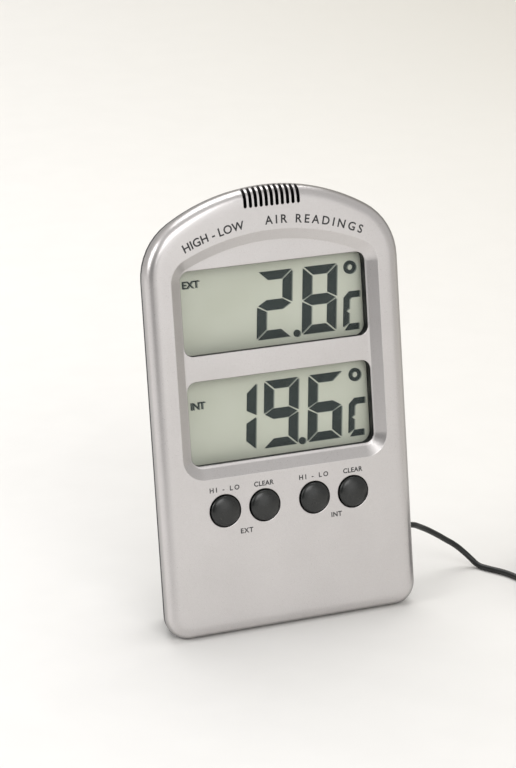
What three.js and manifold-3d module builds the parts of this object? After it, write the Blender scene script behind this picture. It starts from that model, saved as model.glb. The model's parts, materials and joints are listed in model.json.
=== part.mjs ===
// Maximum and minimum thermometer: a leaning two-display digital unit with a remote probe.
//
// Millimetres, +Z up. The unit stands on the floor Z = 0 and faces -Y.
// Case pieces are drawn in the case's own axes, x to the right, y back from the face and z up the
// face, and the case group then leans back. "Depth" below always means that y.
import * as THREE from "three";
import { mergeVertices } from "three/addons/utils/BufferGeometryUtils.js";
import Module from "manifold-3d";

const wasm = await Module();
wasm.setup();

// ---- Driving dimensions -------------------------------------------------------------------------

const GAP = 0.3; // clearance between pieces that touch
const OVERRUN = 1; // how far a cutting block runs past the face it cuts
const WALL = 1.8; // moulded case wall
const LEAN = THREE.MathUtils.degToRad(9.2); // how far the case leans back on its stand

// Case outline: straight sides, a wide arch on top and rounded shoulders and corners.
const WIDTH = 70;
const HEIGHT = 114.7;
const DEPTH = 17.5;
const ARCH_RISE = 13.37; // of the top edge's arch, from the sides to the middle
const SHOULDER_RADIUS = 16.5;
const CORNER_RADIUS = 6;
const EDGE_RADIUS = 3.4; // rounding of the front edge
const PARTING = 4; // depth of the front shell
const RIM_STEP = 0.3; // the rear shell's rim lies this far inside the front shell's
const RIM_DEPTH = 1.3; // straight part of the rear shell's rim
const BACK_INSET = 4.8; // the back face lies this far inside the rim
const BASE_LAND = 0.2; // height taken off the bottom edge where it stands

// Display recess and its two windows.
const RECESS_MARGIN = 6.5;
const RECESS_BOTTOM = 41.3;
const RECESS_TOP_MARGIN = 11.3;
const RECESS_RISE = 7.27;
const RECESS_SHOULDER = 6.5;
const RECESS_CORNER = 6;
const RECESS_DEPTH = 1.7;
const BEVEL_WIDTH = 2.7;
const WINDOW_MARGIN = 3.05; // recess edge to window edge at the sides
const WINDOW_SILL = 3.45; // recess edge to the lower window
const WINDOW_HEAD = 8.45; // top of the recess to the upper window
const WINDOW_BAR = 6.65; // bar between the two windows
const WINDOW_RADIUS = 2.4;

// Vent slots in the top edge.
const VENT_COUNT = 11;
const VENT_PITCH = 1.46;
const VENT_WIDTH = 0.9;
const VENT_DROP = 5.2; // foot of the slots below the top of the case
const VENT_DEPTH = 3; // the slots stop this far behind the face

// Push buttons, two pairs in one row.
const BUTTON_RADIUS = 4;
const BUTTON_RISE = 1.2;
const BUTTON_ROW = 32.7;
const BUTTON_SPACE = 2.95; // bare face between the two buttons of a pair
const BUTTON_MIDDLE = 5.95; // bare face between the pairs
const BUTTON_FLANGE = 0.9;
const BUTTON_TRAVEL = 0.8;
const FLANGE_THICKNESS = 1;
const SWITCH_SIZE = 6;
const SWITCH_HEIGHT = 3.3;
const PLUNGER_RADIUS = 1.7;
const PLUNGER_REACH = 1.5; // plunger inside the switch body at rest
const PLUNGER_PLAY = 0.1; // left between cap and switch body when pressed home

// Display stack, from front to back.
const LENS_THICKNESS = 1;
const LENS_MARGIN = 2.4; // lens and glass beyond the windows, sideways
const GLASS_MARGIN = 3; // glass beyond the windows, up and down
const LENS_TO_GLASS = 0.7;
const GLASS_THICKNESS = 0.8;
const GLASS_LEDGE = 2.4; // contact ledge of the front glass
const REFLECTOR_THICKNESS = 0.3;
const HOLDER_WALL = 1.2;
const HOLDER_RADIUS = 2.4;
const BOARD_DEPTH = 10.3; // front of the circuit board
const BOARD_THICKNESS = 1.2;
const BOARD_MARGIN = 2.5; // board beyond the windows, sideways
const BOARD_HEAD = 3.8; // board above the upper window
const BOARD_SILL = 3.5; // board below the lower window
const TONGUE_HALF = 11;
const TONGUE_TOP = 8.4; // top of the board's tongue below the top of the case
const BOARD_FOOT = 25.8;
const BOARD_FOOT_MARGIN = 1; // board beyond the outer switches
const ZEBRA_WIDTH = 1.8;
const ZEBRA_HALF = 24;

// Screws: four through the rear shell, three through the board.
const SCREW_RADIUS = 1.2;
const SCREW_HEAD_RADIUS = 2.2;
const SCREW_HEAD = 1.6;
const SCREW_POINT = 0.5; // tip's share of the shank's radius
const SCREW_CROWN = 0.6; // flat top's share of the head's radius, and its rim's of the height
const SCREW_SEAT = 4; // depth of the counterbore under the back face
const BOSS_RADIUS = 2.4;
const TOWER_RADIUS = 3.4;
const SCREW_SIDE = 9.7; // lower screws from the case side
const SCREW_FOOT = 26;
const SCREW_TOP_X = 17.5;
const SCREW_TOP = 12.3; // upper screws below the top of the case
const BOSS_DEPTH = 6.2; // back of the front shell's bosses
const PILOT_FLOOR = 1.5; // front wall left under a pilot hole
const BOARD_SCREW_RADIUS = 0.8;
const BOARD_SCREW_HEAD_RADIUS = 1.7;
const BOARD_SCREW_HEAD = 0.9;
const BOARD_BOSS_RADIUS = 2.3;
const BOARD_SCREW_FOOT = 28.5;
const BOARD_SCREW_X = 8.5;
const BOARD_SCREW_TOP = 11.7; // upper board screws below the top of the case
const BOARD_SCREW_REACH = 4.8; // screw held in its boss

// Battery bay: one AAA cell lying across the bottom of the case.
const CELL_RADIUS = 5.25;
const CELL_LENGTH = 44.5;
const CELL_NUB_RADIUS = 1.9;
const CELL_NUB = 1;
const CELL_Z = 14.5;
const CELL_TO_COVER = 0.65;
const CELL_CLEARANCE = 0.55;
const CELL_EDGE = 0.6; // chamfer at the ends of the cell
const BAY_WALL = 1.2;
const SPRING_LENGTH = 2.8;
const SPRING_WIRE = 0.3; // radius
const SPRING_TURNS = 3;
const SPRING_RADIUS = 3.2;
const SPRING_TIP_RADIUS = 1.6;
const CONTACT_THICKNESS = 0.4;
const CONTACT_HALF = 3.6;
const COVER_THICKNESS = 1.6;
const COVER_OVERLAP = 1.9; // cover beyond the bay's opening, on its ledge
const LEDGE = 1.8;

// Fold-out stand.
const STAND_WIDTH = 22;
const STAND_LENGTH = 36;
const STAND_THICKNESS = 2.4;
const STAND_Z = 27.5;
const STAND_INSET = 1.5; // hinge axis under the back face
const STAND_STOP = 2.7; // lower lip of the recess below the hinge axis
const STAND_PIN_RADIUS = 0.9;
const STAND_PIN = 1.5;
const STAND_WALL = 1.5;
const STAND_TIP_CLEARANCE = 1.5;
const FINGER_HALF = 6;
const FINGER_LENGTH = 5;
const FINGER_DEPTH = 2.2;

// Degrees C and F slide switch, reached through the back, beside the stand.
const UNIT_BELOW = 19; // below the top of the upper window
const UNIT_MARGIN = 0.7; // switch to the wall of the stand's slot
const UNIT_BODY = { half: 4.5, tall: 4, depth: 3.4 };
const UNIT_KNOB = { wide: 2, tall: 2.2, inset: 0.4 };
const UNIT_TRAVEL = 2;
const UNIT_POCKET = 1.2;

// Keyhole for a wall screw.
const KEYHOLE_TOP = 22; // centre of the large hole below the top of the case
const KEYHOLE_RADIUS = 4;
const KEYHOLE_SLOT_RADIUS = 1.9;
const KEYHOLE_SLOT = 6.5;

// Small parts on the board.
const BLOB = { x: -17.5, below: 9, radius: 5, rise: 1.4 }; // below the top of the upper window
const CRYSTAL = { x: -21.5, below: 21, radius: 1, length: 6 };
const THERMISTOR = { radius: 1.3, stem: 0.5, reach: 3.4, fromTop: 9.7 };

// Probe lead, its grommet, coil and probe.
const CABLE_RADIUS = 0.8;
const CABLE_SIDES = 8;
const CABLE_STEP = 3;
const GROMMET_Z = 18.4;
const GROMMET_DEPTH = 10.3;
const GROMMET_NECK = 1.9;
const GROMMET_FLANGE = 2.7;
const GROMMET_RIM = 0.6;
const GROMMET_NOSE = 0.7;
const COIL_CENTRE = [84.5, -32];
const COIL_INNER = 7.9;
const COIL_OUTER = 17.9;
const COIL_LIFT = 0.5; // the coil lies on its tie
const COIL_TOP = 10.4;
const COIL_ROUND = 0.8;
const TIE = { angle: THREE.MathUtils.degToRad(-60), width: 3, thickness: 0.5, under: 0.2 };
const PROBE = {
  radius: 2.5,
  sleeve: 12,
  tip: 17,
  taper: 4,
  back: -9, // back of the sleeve from the coil's centre, along the probe
  heading: THREE.MathUtils.degToRad(64),
};

// Centre line of the lead, from its pads on the board out through the grommet and down to the
// floor, where it runs to the coil.
const CABLE_ROUTE = [
  [19.5, -6.2, 28.5],
  [24, -6, 29],
  [28.2, -7, 28.1],
  [29.2, -9.3, 24.3],
  [28.5, -11.5, 20.5],
  [28.7, -11.9, 18.2],
  [30.39, -11.32, 17.11],
  [32.8, -10.36, 16.96],
  [35.03, -9.48, 16.81],
  [40, -8, 16.1],
  [43.6, -6.1, 14.2],
  [49.1, -4.5, 10.7],
  [52.2, -4.1, 8.5],
  [55.3, -4.2, 6.3],
  [57.5, -4.8, 4.3],
  [59.2, -5.8, 2.5],
  [60.6, -7.7, 1],
  [62.3, -10.6, 0.8],
  [64.3, -13.6, 0.8],
  [65.7, -16.3, 0.8],
  [66.6, -19.2, 0.8],
  [67.1, -21.7, 0.8],
  [67.3, -23.8, 0.8],
];

const ARC_STEPS = 6; // chords in a corner arc
const ARCH_STEPS = 16; // chords in a wide arch
const ROUND_SIDES = 20; // sides of a visible round piece
const SMALL_SIDES = 12; // sides of a small round piece
const EDGE_STEPS = 4; // chords across the rounded front edge
const DOME_STEPS = 5; // chords from the crown of a dome to its rim
const WIRE_SIDES = 6;
const COIL_SIDES = 32;
const MERGE = 1e-4; // points closer than this are one
const FAR = 400; // larger than the part, for cutting blocks

// ---- Places worked out from the dimensions ------------------------------------------------------

const half = WIDTH / 2;
const archOver = (side, rise) => (side ** 2 + rise ** 2) / (2 * rise);
const CASE = {
  half,
  bottom: 0,
  top: HEIGHT,
  arch: archOver(half, ARCH_RISE),
  shoulder: SHOULDER_RADIUS,
  corner: CORNER_RADIUS,
};
const RECESS = {
  half: half - RECESS_MARGIN,
  bottom: RECESS_BOTTOM,
  top: HEIGHT - RECESS_TOP_MARGIN,
  arch: archOver(half - RECESS_MARGIN, RECESS_RISE),
  shoulder: RECESS_SHOULDER,
  corner: RECESS_CORNER,
};
const rimFront = PARTING + GAP;
const rimBack = rimFront + RIM_DEPTH;
const draft = Math.atan2(BACK_INSET, DEPTH - rimBack);
const backInside = DEPTH - WALL;

const windowHalf = RECESS.half - WINDOW_MARGIN;
const windowFoot = RECESS.bottom + WINDOW_SILL;
const windowTop = RECESS.top - WINDOW_HEAD;
const windowHeight = (windowTop - windowFoot - WINDOW_BAR) / 2;
const WINDOWS = [
  [windowFoot, windowFoot + windowHeight],
  [windowTop - windowHeight, windowTop],
];

const innerButton = BUTTON_MIDDLE / 2 + BUTTON_RADIUS;
const outerButton = innerButton + 2 * BUTTON_RADIUS + BUTTON_SPACE;
const BUTTONS = [-outerButton, -innerButton, innerButton, outerButton];
const flangeFront = WALL + GAP;
const switchFront = BOARD_DEPTH - GAP - SWITCH_HEIGHT;
const plungerFront = switchFront - BUTTON_TRAVEL - PLUNGER_PLAY;
const capBack = plungerFront - GAP;

const recessBack = RECESS_DEPTH + WALL;
const lensFront = recessBack + GAP;
const lensHalf = windowHalf + LENS_MARGIN;
const glassFront = lensFront + LENS_THICKNESS + LENS_TO_GLASS;
const glassBack = glassFront + GLASS_THICKNESS;
const glassFoot = windowFoot - GLASS_MARGIN;
const glassTop = windowTop + GLASS_MARGIN;
const rearGlassFront = glassBack + GAP;
const reflectorFront = rearGlassFront + GLASS_THICKNESS + GAP;
const boardBack = BOARD_DEPTH + BOARD_THICKNESS;

const CASE_SCREWS = [
  [-(half - SCREW_SIDE), SCREW_FOOT],
  [half - SCREW_SIDE, SCREW_FOOT],
  [-SCREW_TOP_X, HEIGHT - SCREW_TOP],
  [SCREW_TOP_X, HEIGHT - SCREW_TOP],
];
const BOARD_SCREWS = [
  [0, BOARD_SCREW_FOOT],
  [-BOARD_SCREW_X, HEIGHT - BOARD_SCREW_TOP],
  [BOARD_SCREW_X, HEIGHT - BOARD_SCREW_TOP],
];

const bayHalf = CELL_LENGTH / 2 + SPRING_LENGTH + CONTACT_THICKNESS + GAP;
const bayRise = CELL_RADIUS + CELL_CLEARANCE;
const coverFront = DEPTH - COVER_THICKNESS;
const cellDepth = coverFront - CELL_TO_COVER - CELL_RADIUS;
const bayFront = cellDepth - CELL_RADIUS - CELL_CLEARANCE;
const ledgeBack = coverFront - GAP;

const standDepth = DEPTH - STAND_INSET;
const standFloor = standDepth - STAND_THICKNESS / 2 - GAP;
const slotHalf = STAND_WIDTH / 2 + GAP;
const slotFoot = STAND_Z - STAND_STOP;
const slotTop = STAND_Z + STAND_LENGTH + STAND_TIP_CLEARANCE;

const unitFront = boardBack + GAP;
const unitBack = unitFront + UNIT_BODY.depth;
const unitX = slotHalf + STAND_WALL + UNIT_MARGIN + UNIT_BODY.half;
const unitZ = windowTop - UNIT_BELOW;

// The lowest corner of the leaning case stands BASE_LAND below the floor and is cut off flat.
const lowestFront = PARTING * Math.sin(LEAN);
const lowestRear = rimBack * Math.sin(LEAN) - RIM_STEP * Math.cos(LEAN);
const caseLift = Math.max(lowestFront, lowestRear) - BASE_LAND;
const standAxisHeight = caseLift + STAND_Z * Math.cos(LEAN) - standDepth * Math.sin(LEAN);
const standDip = Math.asin(standAxisHeight / STAND_LENGTH); // below the horizontal, when open

// ---- Finishes -----------------------------------------------------------------------------------

const FINISH = {
  silver: { color: 0xc6c1bd, roughness: 0.42, metalness: 0.25 },
  black: { color: 0x17181a, roughness: 0.5, metalness: 0 },
  button: { color: 0x2c2e2c, roughness: 0.35, metalness: 0 },
  clear: { color: 0xdfe6e4, roughness: 0.05, metalness: 0, transparent: true, opacity: 0.35 },
  glass: { color: 0xb6b9ab, roughness: 0.1, metalness: 0 },
  reflector: { color: 0xbbbcb0, roughness: 0.5, metalness: 0.4 },
  board: { color: 0x1f5a3c, roughness: 0.45, metalness: 0 },
  steel: { color: 0xb9bcbf, roughness: 0.3, metalness: 1 },
  rubber: { color: 0x1a1b1c, roughness: 0.7, metalness: 0 },
  epoxy: { color: 0x101011, roughness: 0.3, metalness: 0 },
  jacket: { color: 0x2f5d43, roughness: 0.35, metalness: 0.2 },
  cable: { color: 0x262725, roughness: 0.55, metalness: 0 },
  white: { color: 0xdadad6, roughness: 0.5, metalness: 0 },
};

// ---- Solids -------------------------------------------------------------------------------------

/** A closed geometry as a solid that can be joined and cut. */
function solid(geometry) {
  const bare = geometry.index ? geometry.toNonIndexed() : geometry.clone();
  bare.deleteAttribute("normal");
  bare.deleteAttribute("uv");
  const merged = mergeVertices(bare, MERGE);
  return new wasm.Manifold(
    new wasm.Mesh({
      numProp: 3,
      vertProperties: merged.attributes.position.array,
      triVerts: new Uint32Array(merged.index.array),
    }),
  );
}

/** A solid as a geometry for a mesh. */
function geometryOf(body) {
  const { vertProperties, triVerts } = body.getMesh();
  const geometry = new THREE.BufferGeometry();
  geometry.setAttribute("position", new THREE.BufferAttribute(vertProperties, 3));
  geometry.setIndex(new THREE.BufferAttribute(triVerts, 1));
  geometry.computeVertexNormals();
  return geometry;
}

const join = (first, ...rest) => rest.reduce((sum, next) => sum.add(next), first);
const cut = (first, ...rest) => rest.reduce((sum, next) => sum.subtract(next), first);

/** A box between two corners. */
function box([x0, y0, z0], [x1, y1, z1]) {
  const geometry = new THREE.BoxGeometry(x1 - x0, y1 - y0, z1 - z0);
  geometry.translate((x0 + x1) / 2, (y0 + y1) / 2, (z0 + z1) / 2);
  return solid(geometry);
}

/** Everything between two depths. */
const slab = (front, back) => box([-FAR, front, -FAR], [FAR, back, FAR]);

/** A round bar along the depth axis at (x, z). */
function barAlongDepth(x, z, radius, front, back, sides = SMALL_SIDES) {
  const geometry = new THREE.CylinderGeometry(radius, radius, back - front, sides);
  geometry.translate(x, (front + back) / 2, z);
  return solid(geometry);
}

/** A round bar along x at (depth, z). */
function barAcross(y, z, radius, x0, x1, sides = SMALL_SIDES) {
  const geometry = new THREE.CylinderGeometry(radius, radius, x1 - x0, sides);
  geometry.rotateZ(-Math.PI / 2);
  geometry.translate((x0 + x1) / 2, y, z);
  return solid(geometry);
}

/** A solid turned about the depth axis at (x, z), from [radius, depth] points. */
function turnedAlongDepth(x, z, profile, sides = ROUND_SIDES) {
  const points = profile.map(([radius, depth]) => new THREE.Vector2(radius, depth));
  const geometry = new THREE.LatheGeometry(points, sides);
  geometry.translate(x, 0, z);
  return solid(geometry);
}

// ---- Outlines -----------------------------------------------------------------------------------

/** Points along an arc, both ends included. */
function arc(x, z, radius, from, to, steps) {
  const points = [];
  for (let i = 0; i <= steps; i += 1) {
    const angle = from + ((to - from) * i) / steps;
    points.push(new THREE.Vector2(x + radius * Math.cos(angle), z + radius * Math.sin(angle)));
  }
  return points;
}

/** A shape through the points, without the doubles where arcs meet. */
function shapeOf(points) {
  const apart = points.filter((point, i) => {
    const before = points[(i + points.length - 1) % points.length];
    return point.distanceTo(before) > MERGE;
  });
  return new THREE.Shape(apart);
}

/** An arched outline, straight at the sides, moved in by inset. */
function archedOutline(size, inset = 0) {
  const shoulderX = size.half - size.shoulder;
  const archZ = size.top - size.arch;
  const rise = Math.sqrt((size.arch - size.shoulder) ** 2 - shoulderX ** 2);
  const shoulderZ = archZ + rise;
  const tangent = Math.atan2(rise, shoulderX);
  const cornerX = size.half - size.corner;
  const cornerZ = size.bottom + size.corner;
  const corner = size.corner - inset;
  const shoulder = size.shoulder - inset;
  return shapeOf([
    ...arc(-cornerX, cornerZ, corner, Math.PI, 1.5 * Math.PI, ARC_STEPS),
    ...arc(cornerX, cornerZ, corner, 1.5 * Math.PI, 2 * Math.PI, ARC_STEPS),
    ...arc(shoulderX, shoulderZ, shoulder, 0, tangent, ARC_STEPS),
    ...arc(0, archZ, size.arch - inset, tangent, Math.PI - tangent, ARCH_STEPS),
    ...arc(-shoulderX, shoulderZ, shoulder, Math.PI - tangent, Math.PI, ARC_STEPS),
  ]);
}

/** A rectangle with rounded corners. */
function roundedRectangle(x0, x1, z0, z1, radius, steps = ARC_STEPS) {
  const turn = Math.PI / 2;
  return shapeOf([
    ...arc(x0 + radius, z0 + radius, radius, 2 * turn, 3 * turn, steps),
    ...arc(x1 - radius, z0 + radius, radius, 3 * turn, 4 * turn, steps),
    ...arc(x1 - radius, z1 - radius, radius, 0, turn, steps),
    ...arc(x0 + radius, z1 - radius, radius, turn, 2 * turn, steps),
  ]);
}

/** A plate with straight edges between two depths. */
function plate(shape, front, back) {
  const geometry = new THREE.ExtrudeGeometry(shape, { depth: back - front, bevelEnabled: false });
  geometry.rotateX(Math.PI / 2);
  geometry.translate(0, back, 0);
  return solid(geometry);
}

/** A plate whose outline moves in by inset over run, at its back or at its front. */
function draftedPlate(shape, front, back, inset, run, atBack, steps = 1) {
  const geometry = new THREE.ExtrudeGeometry(shape, {
    depth: back - front - run,
    bevelThickness: run,
    bevelSize: inset,
    bevelOffset: -inset,
    bevelSegments: steps,
  });
  geometry.rotateX(Math.PI / 2);
  geometry.translate(0, atBack ? back - run : back, 0);
  return solid(geometry).intersect(slab(front, back));
}

/** The floor and all below it, in the axes of the leaning case. */
function floorBlock() {
  const geometry = new THREE.BoxGeometry(FAR, FAR, FAR);
  geometry.translate(0, 0, -FAR / 2 - caseLift);
  geometry.rotateX(LEAN);
  return solid(geometry);
}

// ---- Case shells --------------------------------------------------------------------------------

/** The display recess as a solid to cut away, sloping in on every side. */
function recessCutter() {
  const front = -EDGE_RADIUS;
  return draftedPlate(archedOutline(RECESS), front, RECESS_DEPTH, BEVEL_WIDTH, RECESS_DEPTH, true);
}

/** The vent slots, run out over the top edge. */
function ventCutters() {
  const foot = HEIGHT - VENT_DROP;
  const slots = [];
  for (let i = 0; i < VENT_COUNT; i += 1) {
    const x = (i - (VENT_COUNT - 1) / 2) * VENT_PITCH;
    slots.push(box([x - VENT_WIDTH / 2, -FAR, foot], [x + VENT_WIDTH / 2, VENT_DEPTH, FAR]));
  }
  return slots;
}

/** Bosses of the front shell, each with its pilot hole. */
function withBosses(shell) {
  let result = shell;
  for (const [x, z] of CASE_SCREWS) {
    result = result.add(barAlongDepth(x, z, BOSS_RADIUS, WALL / 2, BOSS_DEPTH));
  }
  for (const [x, z] of BOARD_SCREWS) {
    result = result.add(barAlongDepth(x, z, BOARD_BOSS_RADIUS, WALL / 2, BOARD_DEPTH - GAP));
  }
  for (const [x, z] of CASE_SCREWS) {
    result = result.subtract(barAlongDepth(x, z, SCREW_RADIUS + GAP, WALL + PILOT_FLOOR, FAR));
  }
  for (const [x, z] of BOARD_SCREWS) {
    const floor = boardBack + GAP - BOARD_THICKNESS - BOARD_SCREW_REACH - 2 * GAP;
    result = result.subtract(barAlongDepth(x, z, BOARD_SCREW_RADIUS + GAP, floor, FAR));
  }
  return result;
}

function frontShell() {
  const outer = draftedPlate(
    archedOutline(CASE), 0, PARTING, EDGE_RADIUS, EDGE_RADIUS, false, EDGE_STEPS,
  );
  const hollow = plate(archedOutline(CASE, WALL), WALL, FAR);
  const recessPad = plate(archedOutline(RECESS, -WALL), WALL / 2, recessBack);
  const windows = WINDOWS.map(([foot, top]) =>
    plate(roundedRectangle(-windowHalf, windowHalf, foot, top, WINDOW_RADIUS), -OVERRUN, FAR),
  );
  const holes = BUTTONS.map((x) =>
    barAlongDepth(x, BUTTON_ROW, BUTTON_RADIUS + GAP, -OVERRUN, WALL + OVERRUN, ROUND_SIDES),
  );
  const body = withBosses(outer.subtract(hollow).add(recessPad));
  return cut(body, recessCutter(), ...windows, ...holes, ...ventCutters(), floorBlock());
}

/** The rear shell's outside, before anything is cut. */
function rearOuter() {
  return draftedPlate(
    archedOutline(CASE, RIM_STEP), rimFront, DEPTH, BACK_INSET, DEPTH - rimBack, true,
  );
}

function rearHollow() {
  const run = backInside - rimBack;
  const shape = archedOutline({ ...CASE, corner: CORNER_RADIUS + WALL }, RIM_STEP + WALL);
  return draftedPlate(shape, rimFront - OVERRUN, backInside, run * Math.tan(draft), run, true);
}

/** Blocks inside the rear shell: battery bay, stand slot and screw towers. */
function rearBlocks() {
  const bay = box(
    [-bayHalf - BAY_WALL, bayFront - BAY_WALL, CELL_Z - bayRise - BAY_WALL],
    [bayHalf + BAY_WALL, backInside + GAP, CELL_Z + bayRise + BAY_WALL],
  );
  const ledge = box(
    [-half, ledgeBack - LEDGE, CELL_Z - bayRise - COVER_OVERLAP - LEDGE],
    [bayHalf + COVER_OVERLAP + LEDGE, backInside + GAP, CELL_Z + bayRise + COVER_OVERLAP + LEDGE],
  );
  const slot = box(
    [-slotHalf - STAND_WALL, standFloor - STAND_WALL, slotFoot - STAND_WALL],
    [slotHalf + STAND_WALL, backInside + GAP, slotTop + STAND_WALL],
  );
  const finger = box(
    [-FINGER_HALF - STAND_WALL, DEPTH - FINGER_DEPTH - STAND_WALL, slotTop],
    [FINGER_HALF + STAND_WALL, backInside + GAP, slotTop + FINGER_LENGTH + STAND_WALL],
  );
  const towers = CASE_SCREWS.flatMap(([x, z]) => [
    barAlongDepth(x, z, BOSS_RADIUS, BOSS_DEPTH + GAP, backInside + GAP),
    barAlongDepth(x, z, TOWER_RADIUS, boardBack + GAP, backInside + GAP),
  ]);
  return join(bay, ledge, slot, finger, ...towers);
}

/** The opening for the battery cover, which runs out through the left side. */
function coverOpening() {
  return box(
    [-FAR, ledgeBack, CELL_Z - bayRise - COVER_OVERLAP],
    [bayHalf + COVER_OVERLAP, FAR, CELL_Z + bayRise + COVER_OVERLAP],
  );
}

function keyhole() {
  const z = HEIGHT - KEYHOLE_TOP;
  const slotEnd = z + KEYHOLE_SLOT;
  const front = backInside - OVERRUN;
  return [
    barAlongDepth(0, z, KEYHOLE_RADIUS, front, FAR, ROUND_SIDES),
    barAlongDepth(0, slotEnd, KEYHOLE_SLOT_RADIUS, front, FAR, ROUND_SIDES),
    box([-KEYHOLE_SLOT_RADIUS, front, z], [KEYHOLE_SLOT_RADIUS, FAR, slotEnd]),
  ];
}

/** The room that the unit switch's knob slides in, from the given depth back. */
function unitRoom(front) {
  const side = UNIT_TRAVEL / 2 + UNIT_KNOB.wide / 2 + GAP;
  const rise = UNIT_KNOB.tall / 2 + GAP;
  return box([unitX - side, front, unitZ - rise], [unitX + side, FAR, unitZ + rise]);
}

/** What is cut from the rear shell once its blocks are in place. */
function rearCutters() {
  const bay = box(
    [-bayHalf, bayFront, CELL_Z - bayRise],
    [bayHalf, ledgeBack + GAP, CELL_Z + bayRise],
  );
  const slot = box([-slotHalf, standFloor, slotFoot], [slotHalf, FAR, slotTop]);
  const finger = box(
    [-FINGER_HALF, DEPTH - FINGER_DEPTH, slotTop - GAP],
    [FINGER_HALF, FAR, slotTop + FINGER_LENGTH],
  );
  const pinHole = barAcross(
    standDepth, STAND_Z, STAND_PIN_RADIUS + GAP, -slotHalf - STAND_PIN, slotHalf + STAND_PIN,
  );
  const unit = unitRoom(backInside - OVERRUN);
  const screws = CASE_SCREWS.flatMap(([x, z]) => [
    barAlongDepth(x, z, SCREW_RADIUS + GAP, 0, FAR),
    barAlongDepth(x, z, SCREW_HEAD_RADIUS + GAP, DEPTH - SCREW_SEAT, FAR),
  ]);
  return [bay, coverOpening(), slot, finger, pinHole, unit, ...keyhole(), ...screws, floorBlock()];
}

/** The hole for the grommet, square to the sloping right side. */
function grommetHole() {
  const radius = GROMMET_NECK + GAP;
  const geometry = new THREE.CylinderGeometry(radius, radius, 2 * (WALL + radius), SMALL_SIDES);
  geometry.rotateZ(draft - Math.PI / 2);
  geometry.translate(grommetSeat.x, grommetSeat.y, grommetSeat.z);
  return solid(geometry);
}

function rearShell() {
  const blocks = rearBlocks().intersect(rearOuter().add(slab(-FAR, rimFront + GAP)));
  const shell = rearOuter().subtract(rearHollow()).add(blocks);
  return cut(shell, ...rearCutters(), grommetHole());
}

function batteryCover() {
  const block = box(
    [-FAR, coverFront, CELL_Z - bayRise - COVER_OVERLAP + GAP],
    [bayHalf + COVER_OVERLAP - GAP, FAR, CELL_Z + bayRise + COVER_OVERLAP - GAP],
  );
  return rearOuter().intersect(block);
}

// ---- Stand --------------------------------------------------------------------------------------

/** The stand about its hinge axis, with the leg along +x of its profile and the floor below. */
function standProfile() {
  const r = STAND_THICKNESS / 2;
  const reach = (standAxisHeight - r * Math.cos(standDip)) / Math.sin(standDip);
  return shapeOf([
    ...arc(0, 0, r, Math.PI / 2, 1.5 * Math.PI, ARC_STEPS * 2),
    new THREE.Vector2(reach, -r),
    new THREE.Vector2(STAND_LENGTH, 0),
    ...arc(STAND_LENGTH - r, 0, r, 0, Math.PI / 2, ARC_STEPS),
  ]);
}

/** The open stand in case axes, hinged at the origin. */
function stand() {
  const geometry = new THREE.ExtrudeGeometry(standProfile(), {
    depth: STAND_WIDTH,
    bevelEnabled: false,
  });
  // Profile x runs back, profile y runs up, and the width runs along the case's x.
  geometry.translate(0, 0, -STAND_WIDTH / 2);
  geometry.rotateX(Math.PI / 2);
  geometry.rotateZ(Math.PI / 2);
  geometry.rotateX(LEAN - standDip);
  const pinReach = STAND_WIDTH / 2 + STAND_PIN;
  return solid(geometry).add(barAcross(0, 0, STAND_PIN_RADIUS, -pinReach, pinReach));
}

// ---- Buttons and switches -----------------------------------------------------------------------

/** [radius, depth] points over a dome, from its crown down to its rim. */
function dome(radius, rise, rim) {
  const points = [];
  for (let i = 0; i <= DOME_STEPS; i += 1) {
    const angle = (i / DOME_STEPS) * (Math.PI / 2);
    points.push([radius * Math.sin(angle), rim + rise * Math.cos(angle)]);
  }
  return points;
}

function buttonCap(x) {
  const flange = BUTTON_RADIUS + BUTTON_FLANGE;
  const flangeBack = flangeFront + FLANGE_THICKNESS;
  return turnedAlongDepth(x, BUTTON_ROW, [
    ...dome(BUTTON_RADIUS, -BUTTON_RISE, 0),
    [BUTTON_RADIUS, flangeFront],
    [flange, flangeFront],
    [flange, flangeBack],
    [PLUNGER_RADIUS, flangeBack],
    [PLUNGER_RADIUS, capBack],
    [0, capBack],
  ]);
}

function switchBody(x) {
  const r = SWITCH_SIZE / 2;
  const block = box(
    [x - r, switchFront, BUTTON_ROW - r],
    [x + r, BOARD_DEPTH - GAP, BUTTON_ROW + r],
  );
  const depth = switchFront + PLUNGER_REACH + BUTTON_TRAVEL + GAP;
  return block.subtract(
    barAlongDepth(x, BUTTON_ROW, PLUNGER_RADIUS + GAP, switchFront - OVERRUN, depth),
  );
}

function switchPlunger(x) {
  return barAlongDepth(x, BUTTON_ROW, PLUNGER_RADIUS, plungerFront, switchFront + PLUNGER_REACH);
}

function unitSwitchBody() {
  const { half: side, tall } = UNIT_BODY;
  const block = box(
    [unitX - side, unitFront, unitZ - tall / 2],
    [unitX + side, unitBack, unitZ + tall / 2],
  );
  return block.subtract(unitRoom(unitBack - UNIT_POCKET - GAP));
}

function unitSwitchKnob() {
  const x = unitX - UNIT_TRAVEL / 2;
  const { wide, tall, inset } = UNIT_KNOB;
  return box(
    [x - wide / 2, unitBack - UNIT_POCKET, unitZ - tall / 2],
    [x + wide / 2, DEPTH - inset, unitZ + tall / 2],
  );
}

// ---- Display stack and board --------------------------------------------------------------------

function displaySheet(margin, front, thickness, foot, top) {
  const reach = windowHalf + margin;
  return box([-reach, front, foot], [reach, front + thickness, top]);
}

/** The room inside the case, with a gap to its walls. */
function caseRoom() {
  const run = backInside - GAP - rimBack;
  const inset = RIM_STEP + WALL + GAP;
  const shape = archedOutline({ ...CASE, corner: CORNER_RADIUS + WALL }, inset);
  return draftedPlate(shape, WALL, backInside - GAP, run * Math.tan(draft), run, true);
}

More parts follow.
